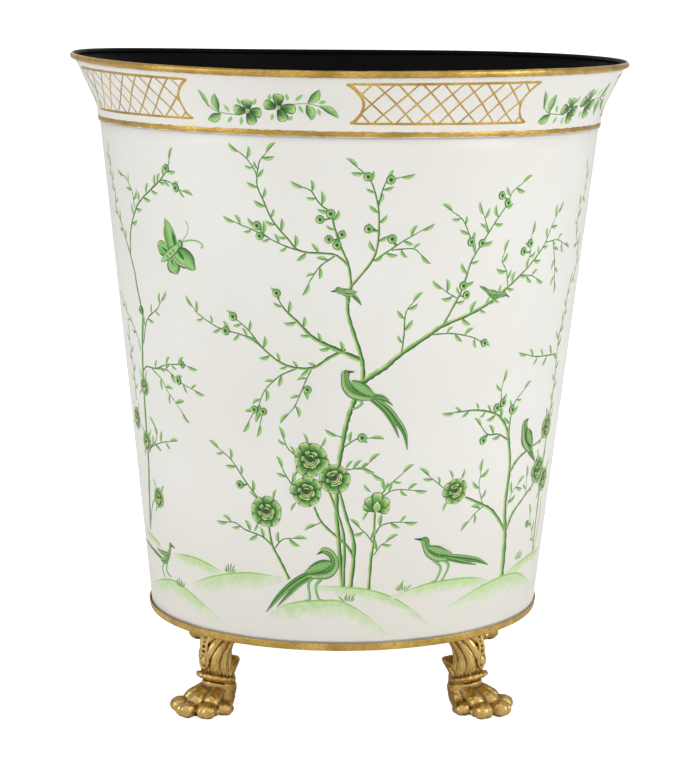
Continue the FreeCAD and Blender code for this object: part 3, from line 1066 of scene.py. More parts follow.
# Joins the lumps; gives points, faces and how hollow the skin is at each point
def castFoot():
    clay = Clay()
    clay.skin(shankRings())
    clay.skin(pawRings())
    for toe in footPiece["toes"]:
        addToe(clay, *toe)
    addBracelet(clay)
    addLeafCurl(clay)
    addCabochon(clay)
    mesh = bpy.data.meshes.new("footClay")
    mesh.from_pydata(clay.points, [], clay.faces)
    rough = bpy.data.objects.new("footClay", mesh)
    bpy.context.scene.collection.objects.link(rough)
    remesh = rough.modifiers.new("join", "REMESH")
    remesh.mode = "VOXEL"
    remesh.voxel_size = footPiece["voxel"]
    soften = rough.modifiers.new("soften", "SMOOTH")
    soften.factor, soften.iterations = footPiece["soften"]
    whole = bpy.data.meshes.new_from_object(rough.evaluated_get(bpy.context.evaluated_depsgraph_get()))
    bpy.data.objects.remove(rough)
    places = readRows(whole.vertices, "co", 3)
    normals = readRows(whole.vertices, "normal", 3)
    edges = readRows(whole.edges, "vertices", 2, np.int64)
    faces = [tuple(face.vertices) for face in whole.polygons]
    bpy.data.meshes.remove(whole)
    hollow = hollowness(places, normals, edges)
    pace, depth = footPiece["pitting"]
    uneven = np.array([noise.noise(Vector(place) * pace) for place in places])
    return places + normals * (uneven * depth)[:, None], faces, hollow


def neighbourMean(values, edges):
    total = np.zeros_like(values)
    count = np.zeros(len(values))
    for first, second in ((0, 1), (1, 0)):
        np.add.at(total, edges[:, first], values[edges[:, second]])
        np.add.at(count, edges[:, first], 1.0)
    return total / np.maximum(count, 1.0).reshape((-1,) + (1,) * (values.ndim - 1))


# 0 on crests, 1 in hollows: how far the smoothed skin lies outside each point
def hollowness(places, normals, edges):
    rounds, again, deepest = footPiece["hollow"]
    soft = places
    for turn in range(rounds):
        soft = neighbourMean(soft, edges)
    depth = np.einsum("ij,ij->i", soft - places, normals)
    for turn in range(again):
        depth = neighbourMean(depth, edges)
    return np.clip(0.5 + depth / deepest, 0.0, 1.0)


def pawFeet():
    places, faces, hollow = castFoot()
    places[:, 2] = np.clip(places[:, 2], 0.0, footPiece["top"])
    # painted shade: the skin darkens towards the sole, and joins the patina and painted shade of the hollows
    # in the paint attribute
    low, share = footPiece["soleShade"]
    soleShadeShare = np.clip((low - places[:, 2]) / low, 0.0, 1.0) * share
    deep = np.clip(hollow + soleShadeShare, 0.0, 1.0)
    colours = np.stack([deep, deep, deep, np.ones_like(deep)], axis=1)
    along = places[:, 0]
    across = places[:, 1]
    for name, (node, azimuth, ownTurn) in footPlaces.items():
        heading = math.radians(azimuth)
        facing = math.radians(azimuth + ownTurn)
        c = math.cos(facing)
        s = math.sin(facing)
        x = footPiece["circle"] * math.cos(heading) + along * c - across * s
        y = footPiece["circle"] * math.sin(heading) + along * s + across * c
        points = np.stack([x, y, places[:, 2]], axis=1)
        makePiece(name, points.tolist(), faces, giltCast, [node], colours)
    print("feet: %d points each" % len(places))


pawFeet()


# Painted garden
# Motifs are placed by picture coordinates (pixels), which wallSpot turns into an angle and
# a height on the vessel; their widths are millimetres on the wall
paintPiece = {
    "pixel": 0.655,         # millimetres on the wall for one pixel
    "edge": -0.04,          # the edges of a stroke sink into the enamel
    "crown": 0.13,
    "layer": 0.10,          # each layer of paint lies this much higher
}
tones = {
    "outline": shade(44, 58, 28), "dark": shade(32, 74, 10), "deep": shade(54, 114, 28),
    "mid": shade(98, 164, 74), "light": shade(142, 202, 114), "pale": shade(176, 214, 140),
    "cream": shade(228, 222, 156), "crest": shade(150, 198, 98), "wash": shade(200, 222, 168),
    "enamel": shade(231, 229, 222),
}


# A stroke's colours from its first side to its other
def toneRow(*names):
    return [tones[name] for name in names]




def uprightVector(vector):
    c = math.cos(vessel["lean"])
    s = math.sin(vessel["lean"])
    return Vector((vector.x * c - vector.z * s, vector.y, vector.x * s + vector.z * c))


# Where the ray through a pixel meets the wall; past the outline it takes the nearest place
def wallSpot(x, y):
    right = x - view["width"] / 2
    up = view["height"] / 2 - y
    c = math.cos(view["pitch"])
    s = math.sin(view["pitch"])
    ray = uprightVector(Vector((right, c * view["focal"] + s * up, c * up - s * view["focal"])).normalized())
    eye = uprightVector(Vector(view["place"]) - Vector((0.0, 0.0, vessel["floorHeight"])))
    height = 200.0 if y > 135 else 345.0    # a first guess, on the drum or on the collar
    for attempt in range(6):
        slope = slopeAt(height)
        base = wallRadius(height) - slope * height
        a = ray.x ** 2 + ray.y ** 2 - slope ** 2 * ray.z ** 2
        b = 2 * (eye.x * ray.x + eye.y * ray.y - slope * ray.z * (base + slope * eye.z))
        rest = eye.x ** 2 + eye.y ** 2 - (base + slope * eye.z) ** 2
        reach = (-b - math.sqrt(max(b * b - 4 * a * rest, 0.0))) / (2 * a)
        place = eye + ray * reach
        height = place.z
    angle = math.atan2(place.x, -place.y)
    return Vector((angle, height - wave(angle, height)))


def spots(pixels):
    return [wallSpot(*pixel[:2]) for pixel in pixels]


# A step over the wall in millimetres, from one spot
def stepped(spot, across, up):
    return Vector((spot.x + across / wallRadius(spot.y), spot.y + up))


def towards(spot, turn, reach):
    return stepped(spot, reach * math.cos(turn), reach * math.sin(turn))


# Millimetres along the wall and up it, from one spot to another
def wayTo(low, high):
    return (high.x - low.x) * wallRadius(low.y), high.y - low.y


def mixed(first, second, share):
    return tuple(a + (b - a) * share for a, b in zip(first, second))


class Paint:
    acrossShares = (-1.0, -0.55, 0.0, 0.55, 1.0)
    acrossLifts = (0.0, 0.8, 1.0, 0.8, 0.0)

    def __init__(self):
        self.points = []       # angle, height, lift
        self.faces = []
        self.colours = []

    def add(self, spot, lift, colour):
        self.points.append((spot.x, spot.y, lift))
        self.colours.append(colour)

    def grid(self, start, rows, columns):
        for row in range(rows - 1):
            for column in range(columns - 1):
                low = start + row * columns + column
                self.faces.append((low, low + 1, low + columns + 1, low + columns))

    # A stroke along a line of spots: half widths in millimetres, colours per step and across
    def ribbon(self, line, halves, colours, layer=0):
        start = len(self.points)
        count = len(line)
        for step, spot in enumerate(line):
            before = line[max(step - 1, 0)]
            after = line[min(step + 1, count - 1)]
            run = Vector(((after.x - before.x) * wallRadius(spot.y), after.y - before.y))
            run.normalize()
            for number, share in enumerate(self.acrossShares):
                wide = halves[step] * share
                place = stepped(spot, -run.y * wide, run.x * wide)
                lift = paintPiece["edge"] + layer * paintPiece["layer"]
                self.add(place, lift + self.acrossLifts[number] * paintPiece["crown"], colours[step][number])
        self.grid(start, count, len(self.acrossShares))

    # Strokes for both sides of the vessel, or once for each given turn
    def piece(self, name, material=gardenPaint, slot="ivory_enamel", turns=(0.0, math.pi)):
        points = []
        faces = []
        colours = []
        for turn in turns:
            start = len(points)
            points += [onWall(angle + turn, height, lift) for angle, height, lift in self.points]
            faces += [tuple(start + corner for corner in face) for face in self.faces]
            colours += self.colours
        makePiece(name, points, faces, material, colours=colours)
        print("%s: %d faces" % (name, len(faces)))


leafShape = [(0.0, 0.16), (0.14, 0.50), (0.32, 0.90), (0.52, 1.0), (0.72, 0.78), (0.88, 0.42), (1.0, 0.03)]


# A leaf from its stalk to its tip: a dark side, a light side and a cream stroke
def leafStroke(paint, base, tip, half, bend=0.1, layer=0, light="light"):
    run = Vector(wayTo(base, tip))
    flip = 1 if bend >= 0 else -1
    line = []
    halves = []
    colours = []
    for share, girth in leafShape:
        sway = bend * math.sin(math.pi * share)
        line.append(stepped(base, run.x * share - run.y * sway, run.y * share + run.x * sway))
        halves.append(half * girth)
        body = mixed(tones["deep"], tones["light"], min(0.25 + share * 1.3, 1.0))
        pale = mixed(tones["mid"], tones[light], min(share * 3.0, 1.0))
        glow = mixed(tones["cream"], pale, 0.5 if 0.1 < share < 0.7 else 1.0)
        row = [tones["outline"], mixed(tones["dark"], body, 0.45), body, glow,
               mixed(tones["light"], tones["deep"], 0.4)]
        colours.append(row[::flip])
    paint.ribbon(line, halves, colours, layer)


# A branch from root to tip: dark under side, cream light along the other
def branchStroke(paint, pixels, rootHalf, tipHalf, layer=0):
    line = smoothPath(spots(pixels), 6)
    count = len(line)
    halves = []
    colours = []
    for step in range(count):
        share = step / (count - 1)
        half = (rootHalf + (tipHalf - rootHalf) * share) * twig["girth"]
        half = half * (1.0 + 0.14 * math.sin(step * 1.9 + rootHalf * 7))
        halves.append(half)
        glow = mixed(tones["light"], tones["cream"], 0.5 + 0.5 * math.sin(step * 0.8))
        middle = mixed(tones["deep"], tones["mid"], min(half / 1.2, 1.0))
        if half > 0.75:
            colours.append([tones["outline"], tones["dark"], middle, glow, tones["mid"]])
        else:
            thin = mixed(tones["deep"], middle, 0.5)
            colours.append([tones["outline"], tones["dark"], thin, tones["light"], tones["mid"]])
    paint.ribbon(line, halves, colours, layer)
    return line


# Leaves that grow in turn from the two sides of a branch
def leavesAlong(paint, line, share, gap, length):
    total = 0.0
    marks = [0.0]
    for low, high in zip(line, line[1:]):
        total += math.hypot(*wayTo(low, high))
        marks.append(total)
    place = total * share
    side = random.choice((-1, 1))
    while place < total - gap * twig["tipFree"]:
        number = max(step for step, mark in enumerate(marks) if mark <= place)
        number = min(number, len(line) - 2)
        low = line[number]
        high = line[number + 1]
        part = (place - marks[number]) / max(marks[number + 1] - marks[number], 0.001)
        spot = low + (high - low) * part
        run = Vector(wayTo(low, high)).normalized()
        turn = side * math.radians(random.uniform(*twig["turns"]))
        heading = Vector((run.x * math.cos(turn) - run.y * math.sin(turn),
                          run.x * math.sin(turn) + run.y * math.cos(turn)))
        reach = length * random.uniform(*twig["lengths"])
        tip = stepped(spot, heading.x * reach, heading.y * reach)
        leafStroke(paint, spot, tip, reach * twig["slim"], side * random.uniform(*twig["bends"]))
        side = -side
        place += gap * random.uniform(*twig["gaps"])
    run = Vector(wayTo(line[-2], line[-1])).normalized()
    reach = length * twig["endLength"]
    tip = stepped(line[-1], run.x * reach, run.y * reach)
    leafStroke(paint, line[-1], tip, reach * twig["endSlim"], twig["endBend"] * side)


twig = {
    "gap": 6.3,              # millimetres from leaf to leaf
    "leaf": 7.3,             # millimetres
    "seed": 21,
    "girth": 1.28,
    "tipFree": 0.3,          # share of a gap that stays free before the tip
    "turns": (32, 56),       # degrees between leaf and twig
    "lengths": (0.75, 1.2),
    "gaps": (0.75, 1.25),
    "bends": (0.06, 0.2),
    "slim": 0.2,             # half width as a share of the length
    "endLength": 1.25,       # the leaf at the tip
    "endSlim": 0.17,
    "endBend": 0.12,
}

# Branches from root to tip: pixels, half width at the root and at the tip in millimetres,
# and the share of the way up from which leaves grow; 1 means none
branches = [
    # left tree
    ([(150.5, 529), (148.9, 479.5), (148, 454.6), (142.7, 370), (142.7, 314.6), (140.9, 305.7), (136.8, 286),
      (134.6, 271.8), (130.2, 253.9)], 1.5, 0.8, 1),
    ([(130.2, 254), (122, 225), (116.4, 207.5), (115, 191.4), (111, 171.8), (108.8, 154)], 0.8, 0.35, 0.15),
    ([(130.2, 253.9), (130.7, 230.7), (135.5, 209.3), (141.8, 198.6), (156, 184.3), (165.9, 171.8),
      (169, 160)], 0.9, 0.35, 0.25),
    ([(134.6, 207.5), (132, 191.4), (126.6, 178.9), (123, 175)], 0.5, 0.3, 0.2),
    ([(150, 190), (159.6, 180.7), (168.6, 181.6), (175.7, 187.9), (182, 191)], 0.5, 0.3, 0.3),
    ([(143.6, 343), (147, 320), (157, 309), (161, 301)], 0.6, 0.3, 0.3),
    ([(140.9, 350.4), (136.4, 332.5), (128.4, 314.6), (123, 300)], 0.5, 0.3, 0.3),
    ([(136.4, 400), (134.6, 377), (132, 357.5), (129.6, 337)], 0.6, 0.3, 0.2),
    ([(143.6, 370), (147, 366.4), (156, 368.2), (166.8, 364.6), (182, 364.6), (187, 366)], 0.6, 0.3, 0.35),
    ([(156, 368.5), (166.8, 370), (178.4, 380.7), (186.4, 386), (194, 390)], 0.5, 0.3, 0.3),
    ([(152, 368.5), (161.4, 378.9), (166.8, 389.6), (176, 403), (182, 412)], 0.5, 0.3, 0.3),
    ([(149, 452), (152.2, 446.3), (163, 442.2), (170, 441.6)], 0.5, 0.3, 0.3),
    ([(150, 447), (155.5, 441.4), (157.2, 431.4), (155, 427)], 0.45, 0.3, 0.4),
    ([(150.5, 526), (153, 502.7), (158, 497)], 0.6, 0.5, 1),
    # trunk and forks of the centre tree
    ([(342, 588), (340, 560), (337, 520), (336.5, 490), (338.8, 463.9), (340.2, 455.7), (343.7, 436.5),
      (347.2, 420.6), (351, 409), (354.9, 399.5), (361, 386), (362.9, 378)], 1.3, 1.5, 1),
    ([(362.9, 380.7), (362, 361), (353.9, 334.3), (347.7, 312.9), (348.6, 296.8), (351.3, 286)],
     1.35, 0.85, 1),
    ([(351.3, 288), (348.6, 266.4), (341.4, 248.6), (335, 230), (330.7, 214), (322, 206), (316.8, 200),
      (311.4, 191.4), (304, 187.5)], 0.85, 0.33, 0.35),
    ([(351.3, 286), (371.8, 261), (378, 241.4), (378.9, 220), (378, 205.7), (373.6, 187.9), (368.2, 176.8),
      (358, 168)], 0.8, 0.33, 0.25),
    ([(378.9, 205.7), (381.6, 193.2), (386, 182.5), (391, 179.8), (401, 177.3)], 0.5, 0.3, 0.4),
    ([(373.6, 261), (387.9, 251.3), (405.7, 239.6), (422, 230.5)], 0.6, 0.3, 0.25),
    ([(391.4, 250), (412.9, 248.6), (421, 254.5)], 0.45, 0.3, 0.3),
    ([(349, 267), (340, 258), (330, 254), (300.7, 251.3), (288.2, 239.6), (272.1, 220), (263.2, 200.4),
      (257, 186), (256, 173.6), (247.1, 159.3), (239, 152)], 0.75, 0.33, 0.2),
    ([(257, 173.6), (259.6, 161), (266, 153)], 0.45, 0.3, 0.2),
    ([(300.7, 251.3), (284.6, 245.9), (268.6, 237.9), (258, 228)], 0.5, 0.3, 0.3),
    ([(268.6, 237.9), (250.7, 228.9), (241.8, 225.4), (235, 222)], 0.45, 0.3, 0.2),
    ([(335, 256), (320.4, 266.4), (311.4, 278.9), (309, 283)], 0.5, 0.3, 0.2),
    ([(362, 361), (330, 346.8), (313.2, 337.9), (297.1, 321.8), (284.6, 309.3), (278.5, 300)], 1.6, 0.3, 0.2),
    ([(346, 350.5), (330, 357.5), (315, 367.3), (297.1, 368.2), (279.3, 362), (261.4, 346.8), (248.9, 330.7),
      (237, 320)], 1.05, 0.35, 0.25),
    ([(261.4, 346.8), (250.7, 338.8), (240, 334.3), (221.3, 328.9), (211.4, 323.6), (197.1, 312.9),
      (193, 307)], 0.55, 0.3, 0.2),
    ([(297, 368.5), (281, 375.4), (268.6, 386), (262.5, 394.9), (259.2, 404.9)], 0.5, 0.32, 0.3),
    ([(259.2, 404.9), (254.2, 412), (249, 421)], 0.4, 0.3, 0.4),
    ([(260, 405), (262, 415), (260, 424)], 0.4, 0.3, 0.4),
    ([(311.4, 370), (306, 380.7), (295.6, 404.9), (289, 413.5)], 0.45, 0.3, 0.2),
    # right branch of the centre tree
    ([(363, 381.5), (374.6, 374), (387.4, 365.7), (398.6, 355.7), (427.1, 336.1), (443.2, 325.4),
      (471.8, 312.9), (489.6, 302.1), (506.6, 287.9), (520, 275.4), (534.3, 259.3), (545, 243.2),
      (551.3, 227.1), (558, 213)], 1.75, 0.3, 0.42),
    ([(443.2, 324.5), (457.5, 298.6), (463.4, 285.7), (470, 264.6), (475.4, 253.9), (482.1, 243.2),
      (493.2, 225.4), (500.4, 214.6), (507.9, 202.7), (512.9, 191.4), (523, 183)], 0.75, 0.33, 0.15),
    ([(475.4, 253.9), (469.1, 234.3), (462.9, 220), (453, 212)], 0.5, 0.3, 0.25),
    ([(489, 232), (486, 222), (484, 215)], 0.4, 0.28, 0.3),
    ([(401.3, 353.9), (403.9, 334.3), (404.8, 318.2), (407.5, 309.3), (413, 303)], 0.55, 0.3, 0.2),
    ([(431, 334.5), (452.1, 333.4), (471.8, 337), (480, 341)], 0.5, 0.3, 0.3),
    ([(507.5, 286), (506.6, 271.8), (502.1, 261), (504.5, 253)], 0.45, 0.3, 0.2),
    ([(527, 266), (530.4, 252), (530.4, 243.2), (532, 235)], 0.45, 0.3, 0.3),
    ([(521.8, 275.4), (530.7, 275.4), (536, 278)], 0.4, 0.28, 0.3),
    ([(545.9, 242.3), (557.5, 239.6), (564.5, 244)], 0.4, 0.28, 0.3),
    ([(553, 240), (554.8, 262.9), (554.2, 280)], 0.45, 0.3, 0.2),
    ([(457.5, 298.6), (448, 293), (443, 289)], 0.4, 0.28, 0.3),
    # far right stems
    ([(531, 560), (537.5, 505), (543, 460), (548, 425), (553.9, 384.3), (556.6, 355.7), (559.3, 334.3),
      (564.6, 312.9), (569.1, 286), (574.5, 273.6), (578, 248.6), (576.3, 232.5), (580, 205), (585, 191.4),
      (587, 171)], 1.2, 0.35, 0.35),
    ([(555.7, 353.9), (536.1, 356.6), (527, 354.6)], 0.5, 0.3, 0.2),
    # stems under the three blooms
    ([(343, 589), (344, 540.7), (337.5, 513.9), (327, 487)], 1.0, 0.7, 1),
    ([(350.4, 588), (353.9, 546), (346.8, 519.3), (339.6, 492.5)], 1.35, 0.8, 1),
    ([(353, 558), (347.5, 547), (330.7, 531.8), (320.5, 521), (314, 506.9)], 0.95, 0.65, 1),
    ([(300, 458), (292.3, 453), (287, 447), (284, 440)], 0.45, 0.3, 0.3),
    ([(296, 490), (290, 482), (285, 474), (282.5, 469)], 0.45, 0.3, 0.3),
    ([(346, 470), (354, 468.6), (363.8, 467), (369, 463)], 0.45, 0.3, 0.3),
    ([(354, 468.6), (364, 469.5), (372, 473.5)], 0.4, 0.28, 0.4),
    ([(342.8, 448), (349.1, 443.5), (355.5, 439.5), (362.2, 437.8), (370, 438.2)], 0.5, 0.3, 0.3),
    ([(345, 443), (341.5, 438), (338, 436)], 0.4, 0.3, 0.6),
    ([(322, 522), (317, 524.5)], 0.35, 0.28, 0.8),
    # small blooming tree to the right of them
    ([(368.2, 590.7), (370.9, 558.6), (373.6, 540.7), (374.5, 512)], 1.0, 0.7, 1),
    ([(380, 497), (386, 488), (394, 481), (403, 473.5)], 0.45, 0.3, 0.25),
    ([(383, 496), (395, 489.8), (414, 490.2)], 0.45, 0.3, 0.2),
    ([(375.4, 533.6), (380.7, 526), (391.4, 522.5), (404, 522.2)], 0.5, 0.3, 0.25),
    ([(373.6, 544), (367, 535), (360, 528.5)], 0.45, 0.3, 0.3),
    ([(374, 555), (380, 546), (386, 542)], 0.4, 0.3, 0.3),
    # blooming tree on the left
    ([(289, 579.4), (280.1, 560.7), (272.4, 545.8), (268.3, 525)], 1.0, 0.7, 1),
    ([(262, 503), (257.5, 497.7), (244.2, 479.5), (231, 459.6), (219, 449)], 0.6, 0.32, 0.2),
    ([(272.4, 545.8), (262, 536.5), (245.9, 530), (235.9, 523), (228, 521.8)], 0.6, 0.32, 0.2),
    ([(275, 548), (280.5, 541), (286, 538.5), (293, 538.6)], 0.45, 0.3, 0.3),
    # right tree
    ([(501.3, 576.4), (503.9, 549.6), (504.8, 528.2), (504.8, 505), (509.3, 469.3), (508.4, 438.9),
      (503.9, 422.9), (495, 413.9), (477.1, 410.4), (455, 412.4)], 2.1, 0.45, 0.74),
    ([(500.4, 417.5), (501.3, 403.2), (501.3, 390.7), (503, 383)], 0.45, 0.3, 0.2),
    ([(508.6, 436), (509.3, 426), (512, 409.5), (516.4, 399.6), (524, 390)], 0.85, 0.35, 0.25),
    ([(507.5, 440), (498.6, 434.5), (487.9, 434.5), (481.5, 427)], 0.7, 0.35, 0.3),
    ([(508.6, 473.5), (515, 462.5), (520.5, 455.8), (526.6, 450.4)], 1.2, 0.9, 1),
    ([(531.6, 445.8), (537, 442.8), (541.8, 437.4)], 0.8, 0.6, 1),
    ([(505.5, 530), (513, 512), (524.5, 495.5), (533.3, 483.6)], 1.25, 0.8, 1),
    ([(525.5, 493.5), (526.3, 485), (526.6, 478)], 0.4, 0.3, 0.3),
    ([(504, 530), (493.2, 512), (482.5, 505), (465, 497.4)], 1.2, 0.85, 1),
    ([(533.8, 549), (538.8, 519), (541.2, 496)], 0.6, 0.5, 1),
    ([(443.2, 488), (436, 481.8), (429.5, 476.5)], 0.4, 0.28, 0.3),
    ([(482.5, 504), (478.9, 487), (481, 472.5)], 0.4, 0.28, 0.2),
    ([(483, 506.5), (475.4, 513), (469.5, 520.5)], 0.4, 0.28, 0.2),
    ([(506, 508), (512, 492.5), (517.5, 485)], 0.4, 0.28, 0.2),
    ([(533.4, 549), (530.7, 526.4), (530, 515)], 0.45, 0.3, 0.3),
]

# Round buds: pixels
buds = [
    (165.9, 168.2), (175.7, 187.9), (140.9, 310), (182, 364.6), (178.4, 380.7), (337, 245), (328.9, 239.3),
    (342, 234.5), (330.7, 213.8), (320, 219.5), (368.2, 176.8), (391, 179.8), (368.8, 228.9), (392.3, 239),
    (259.6, 236), (257, 225.5), (276.6, 293), (233, 316.4), (225.7, 330.7), (254.2, 409.5), (263.3, 411.5),
    (307.5, 389.6), (463.4, 285.7), (466.4, 295), (471.4, 242), (482.1, 243.2), (502.1, 195.4),
    (507.9, 202.7), (484.3, 342.9), (530.4, 243.2), (523.6, 251.3), (362.2, 437.8), (239.8, 484.5),
    (496.8, 407.7), (503, 402.5), (512, 409.5), (482.9, 440.5), (527.1, 523.8),
]
budPiece = {
    "radius": 3.0,
    "sides": 16,
    "away": 3.0,             # pixels; a bud farther from the boughs gets its own stalk
    # share of the radius, lift and tone
    "rings": [(0.14, 0.50, "outline"), (0.24, 0.50, "dark"), (0.38, 0.50, "mid"), (0.80, 0.46, "light"),
              (0.88, 0.40, "outline"), (1.0, -0.04, "outline")],
    "glint": [0.08, 0.2, 0.3, 0.34, 0.3, 0.2, 0.08],
}

# Blooms: pixels and radius in pixels
cupBloom = (377.1, 502.3, 12.5)
blooms = [
    (310.6, 459.6, 16.6), (334.3, 478.2, 15.0), (306.4, 491.9, 15.5), (266.6, 511.8, 15.8), cupBloom,
    (455.2, 490.7, 13.2), (144.7, 386.6, 9.5), (137.3, 417.3, 11.0), (147.2, 441.4, 10.5),
    (158.8, 497.7, 10.5), (546.3, 426.8, 12.2), (537.4, 470.0, 14.4), (542.6, 478.6, 12.4),
]
bloomPiece = {
    "petals": (7, 8, 9),
    # rings of colour: share of the radius, lift and tone
    "bed": [(0.3, 0.25, "deep"), (0.75, 0.25, "deep"), (0.8, -0.04, "deep")],
    "heart": [(0.1, 0.56, "dark"), (0.42, 0.56, "dark"), (0.56, 0.52, "dark"), (0.62, 0.2, "deep")],
    # cream strokes: share of the radius, and turns from and to; more of them lie on the lower right
    "curls": [(0.20, 3.6, 6.4), (0.32, 3.3, 6.9), (0.46, 4.0, 5.3), (0.44, 5.6, 6.8), (0.24, 0.9, 2.3),
              (0.45, 0.9, 1.9)],
    "curlHalves": [0.1, 0.26, 0.36, 0.4, 0.36, 0.26, 0.1],
    # petals of the flower that shows its side: turn, reach and half width as shares of the radius
    "cupPetals": [(2.75, 1.06, 0.40), (0.3, 1.04, 0.40), (2.25, 1.22, 0.42), (0.8, 1.24, 0.42),
                  (1.52, 1.42, 0.46), (-0.1, 0.9, 0.26)],
    "cupShape": [(0.0, 0.4), (0.2, 0.86), (0.42, 1.0), (0.66, 0.74), (0.86, 0.34), (1.0, 0.05)],
}


def paintBranches():
    random.seed(twig["seed"])
    stems = Paint()
    leaves = Paint()
    for pixels, rootHalf, tipHalf, leafy in branches:
        line = branchStroke(stems, pixels, rootHalf, tipHalf)
        if leafy < 1:
            leavesAlong(leaves, line, leafy, twig["gap"], twig["leaf"])
    stems.piece("gardenBranches")
    leaves.piece("gardenLeaves")


# Rings of colour round a spot, from the middle outwards: share of the radius, lift and tone
def roundSpot(paint, spot, radius, rings, sides, tall=1.0):
    start = len(paint.points)
    for share, lift, tone in rings:
        for turn in turnsRound(sides):
            reach = radius * share
            paint.add(stepped(spot, reach * math.cos(turn), reach * tall * math.sin(turn)), lift, tones[tone])
    paint.faces += ringFaces(len(rings), sides, start=start)
    paint.faces.append(tuple(start + side for side in range(sides)))


def nearestOnBoughs(x, y):
    best = None
    for pixels, *rest in branches:
        for low, high in zip(pixels, pixels[1:]):
            for share in (0.0, 0.25, 0.5, 0.75, 1.0):
                spot = (low[0] + (high[0] - low[0]) * share, low[1] + (high[1] - low[1]) * share)
                away = math.hypot(spot[0] - x, spot[1] - y) + 0.35 * max(y - spot[1], 0.0)
                if best is None or away < best[0]:
                    best = (away, spot)
    return best


def paintBuds():
    random.seed(3)
    paint = Paint()
    for x, y in buds:
        away, (nearX, nearY) = nearestOnBoughs(x, y)
        if away > budPiece["away"]:
            bend = ((x + nearX) / 2 + random.uniform(-1.0, 1.0), (y + nearY) / 2 + 0.8)
            branchStroke(paint, [(nearX, nearY), bend, (x, y)], 0.5, 0.38, 1)
    for pixel in buds:
        spot = wallSpot(*pixel)
        radius = budPiece["radius"] * random.uniform(0.84, 1.0)
        roundSpot(paint, spot, radius, budPiece["rings"], budPiece["sides"])
        line = [towards(spot, math.radians(150 + 20 * step), radius * 0.58) for step in range(7)]
        paint.ribbon(line, budPiece["glint"], [toneRow("cream") * 5] * 7, 5)
    paint.piece("gardenBuds")


petalShape = [(0.0, 0.45), (0.2, 0.66), (0.42, 0.88), (0.62, 1.0), (0.78, 0.99), (0.87, 0.88), (0.94, 0.66),
              (0.98, 0.42), (1.0, 0.08)]
petalTones = [("dark", 0.0), ("dark", 0.0), ("deep", 0.1), ("mid", 0.0), ("light", 0.3), ("cream", 0.1),
              ("light", 0.1), ("outline", 0.3), ("outline", 0.0)]


# A petal from the heart of a flower outwards
def petalStroke(paint, spot, turn, reach, half, start, layer):
    line = []
    halves = []
    colours = []
    for (share, girth), (tone, mixture) in zip(petalShape, petalTones):
        out = start + (reach - start) * share
        line.append(towards(spot, turn, out))
        halves.append(half * girth)
        colour = mixed(tones[tone], tones["mid"], mixture)
        side = mixed(colour, tones["cream"], 0.35 if share > 0.5 else 0.0)
        colours.append([tones["outline"], side, colour, mixed(colour, tones["light"], 0.3), tones["outline"]])
    paint.ribbon(line, halves, colours, layer)


def bloomStroke(paint, spot, radius):
    petals = random.choice(bloomPiece["petals"])
    twist = random.uniform(0, math.pi)
    lean = random.uniform(-0.6, 0.4)
    roundSpot(paint, spot, radius, bloomPiece["bed"], 16)
    for petal in range(petals):
        turn = twist + 2 * math.pi * (petal + random.uniform(-0.14, 0.14)) / petals
        reach = radius * random.uniform(0.9, 1.08)
        half = radius * random.uniform(0.34, 0.44) * 8 / petals
        petalStroke(paint, spot, turn, reach, half, radius * 0.34, 2 + 0.6 * (petal % 3))
    roundSpot(paint, spot, radius, bloomPiece["heart"], 16)
    for turn in turnsRound(6, twist + 0.4):
        petalStroke(paint, spot, turn, radius * 0.54, radius * 0.22, radius * 0.16, 5)
    for number, (share, low, high) in enumerate(bloomPiece["curls"]):
        line = [towards(spot, lean + turn, radius * share) for turn in spread(low, high, 7)]
        tone = mixed(tones["cream"], tones["pale"], 0.2 * (number % 3))
        row = [tones["deep"], tone, tone, tone, tones["deep"]]
        paint.ribbon(line, bloomPiece["curlHalves"], [row] * 7, 6)


# A flower seen from its side: petals rise from the stem behind one pale closed petal
def cupStroke(paint, x, y, radius):
    foot = wallSpot(x - radius * 0.06, y + radius * 0.62)
    size = radius * paintPiece["pixel"]
    for number, (turn, reach, half) in enumerate(bloomPiece["cupPetals"]):
        petalStroke(paint, foot, turn, size * reach, size * half, 0.3, 1 + 0.6 * number)
    for tone, layer, scale in (("cream", 7, 1.0), ("light", 8, 0.8)):
        line = []
        halves = []
        for share, girth in bloomPiece["cupShape"]:
            line.append(stepped(foot, size * 0.06 * share, size * (0.8 * share * scale - 0.08)))
            halves.append(size * 0.27 * girth * scale)
        paint.ribbon(line, halves, [[tones[tone]] * 5] * 6, layer)


def paintBlooms():
    random.seed(33)
    paint = Paint()
    for bloom in blooms:
        if bloom == cupBloom:
            cupStroke(paint, *bloom)
        else:
            bloomStroke(paint, wallSpot(*bloom[:2]), bloom[2] * paintPiece["pixel"])
    # leaves that stand out round the larger flowers
    for x, y, radius in blooms:
        spot = wallSpot(x, y)
        reach = radius * paintPiece["pixel"]
        for turn in (random.uniform(0.6, 1.2), random.uniform(1.6, 2.3), random.uniform(3.4, 4.2)):
            base = towards(spot, turn, reach * 0.95)
            tip = towards(spot, turn + 0.1, reach + 6.4)
            leafStroke(paint, base, tip, 1.15, random.choice((-0.12, 0.12)))
    paint.piece("gardenBlooms")


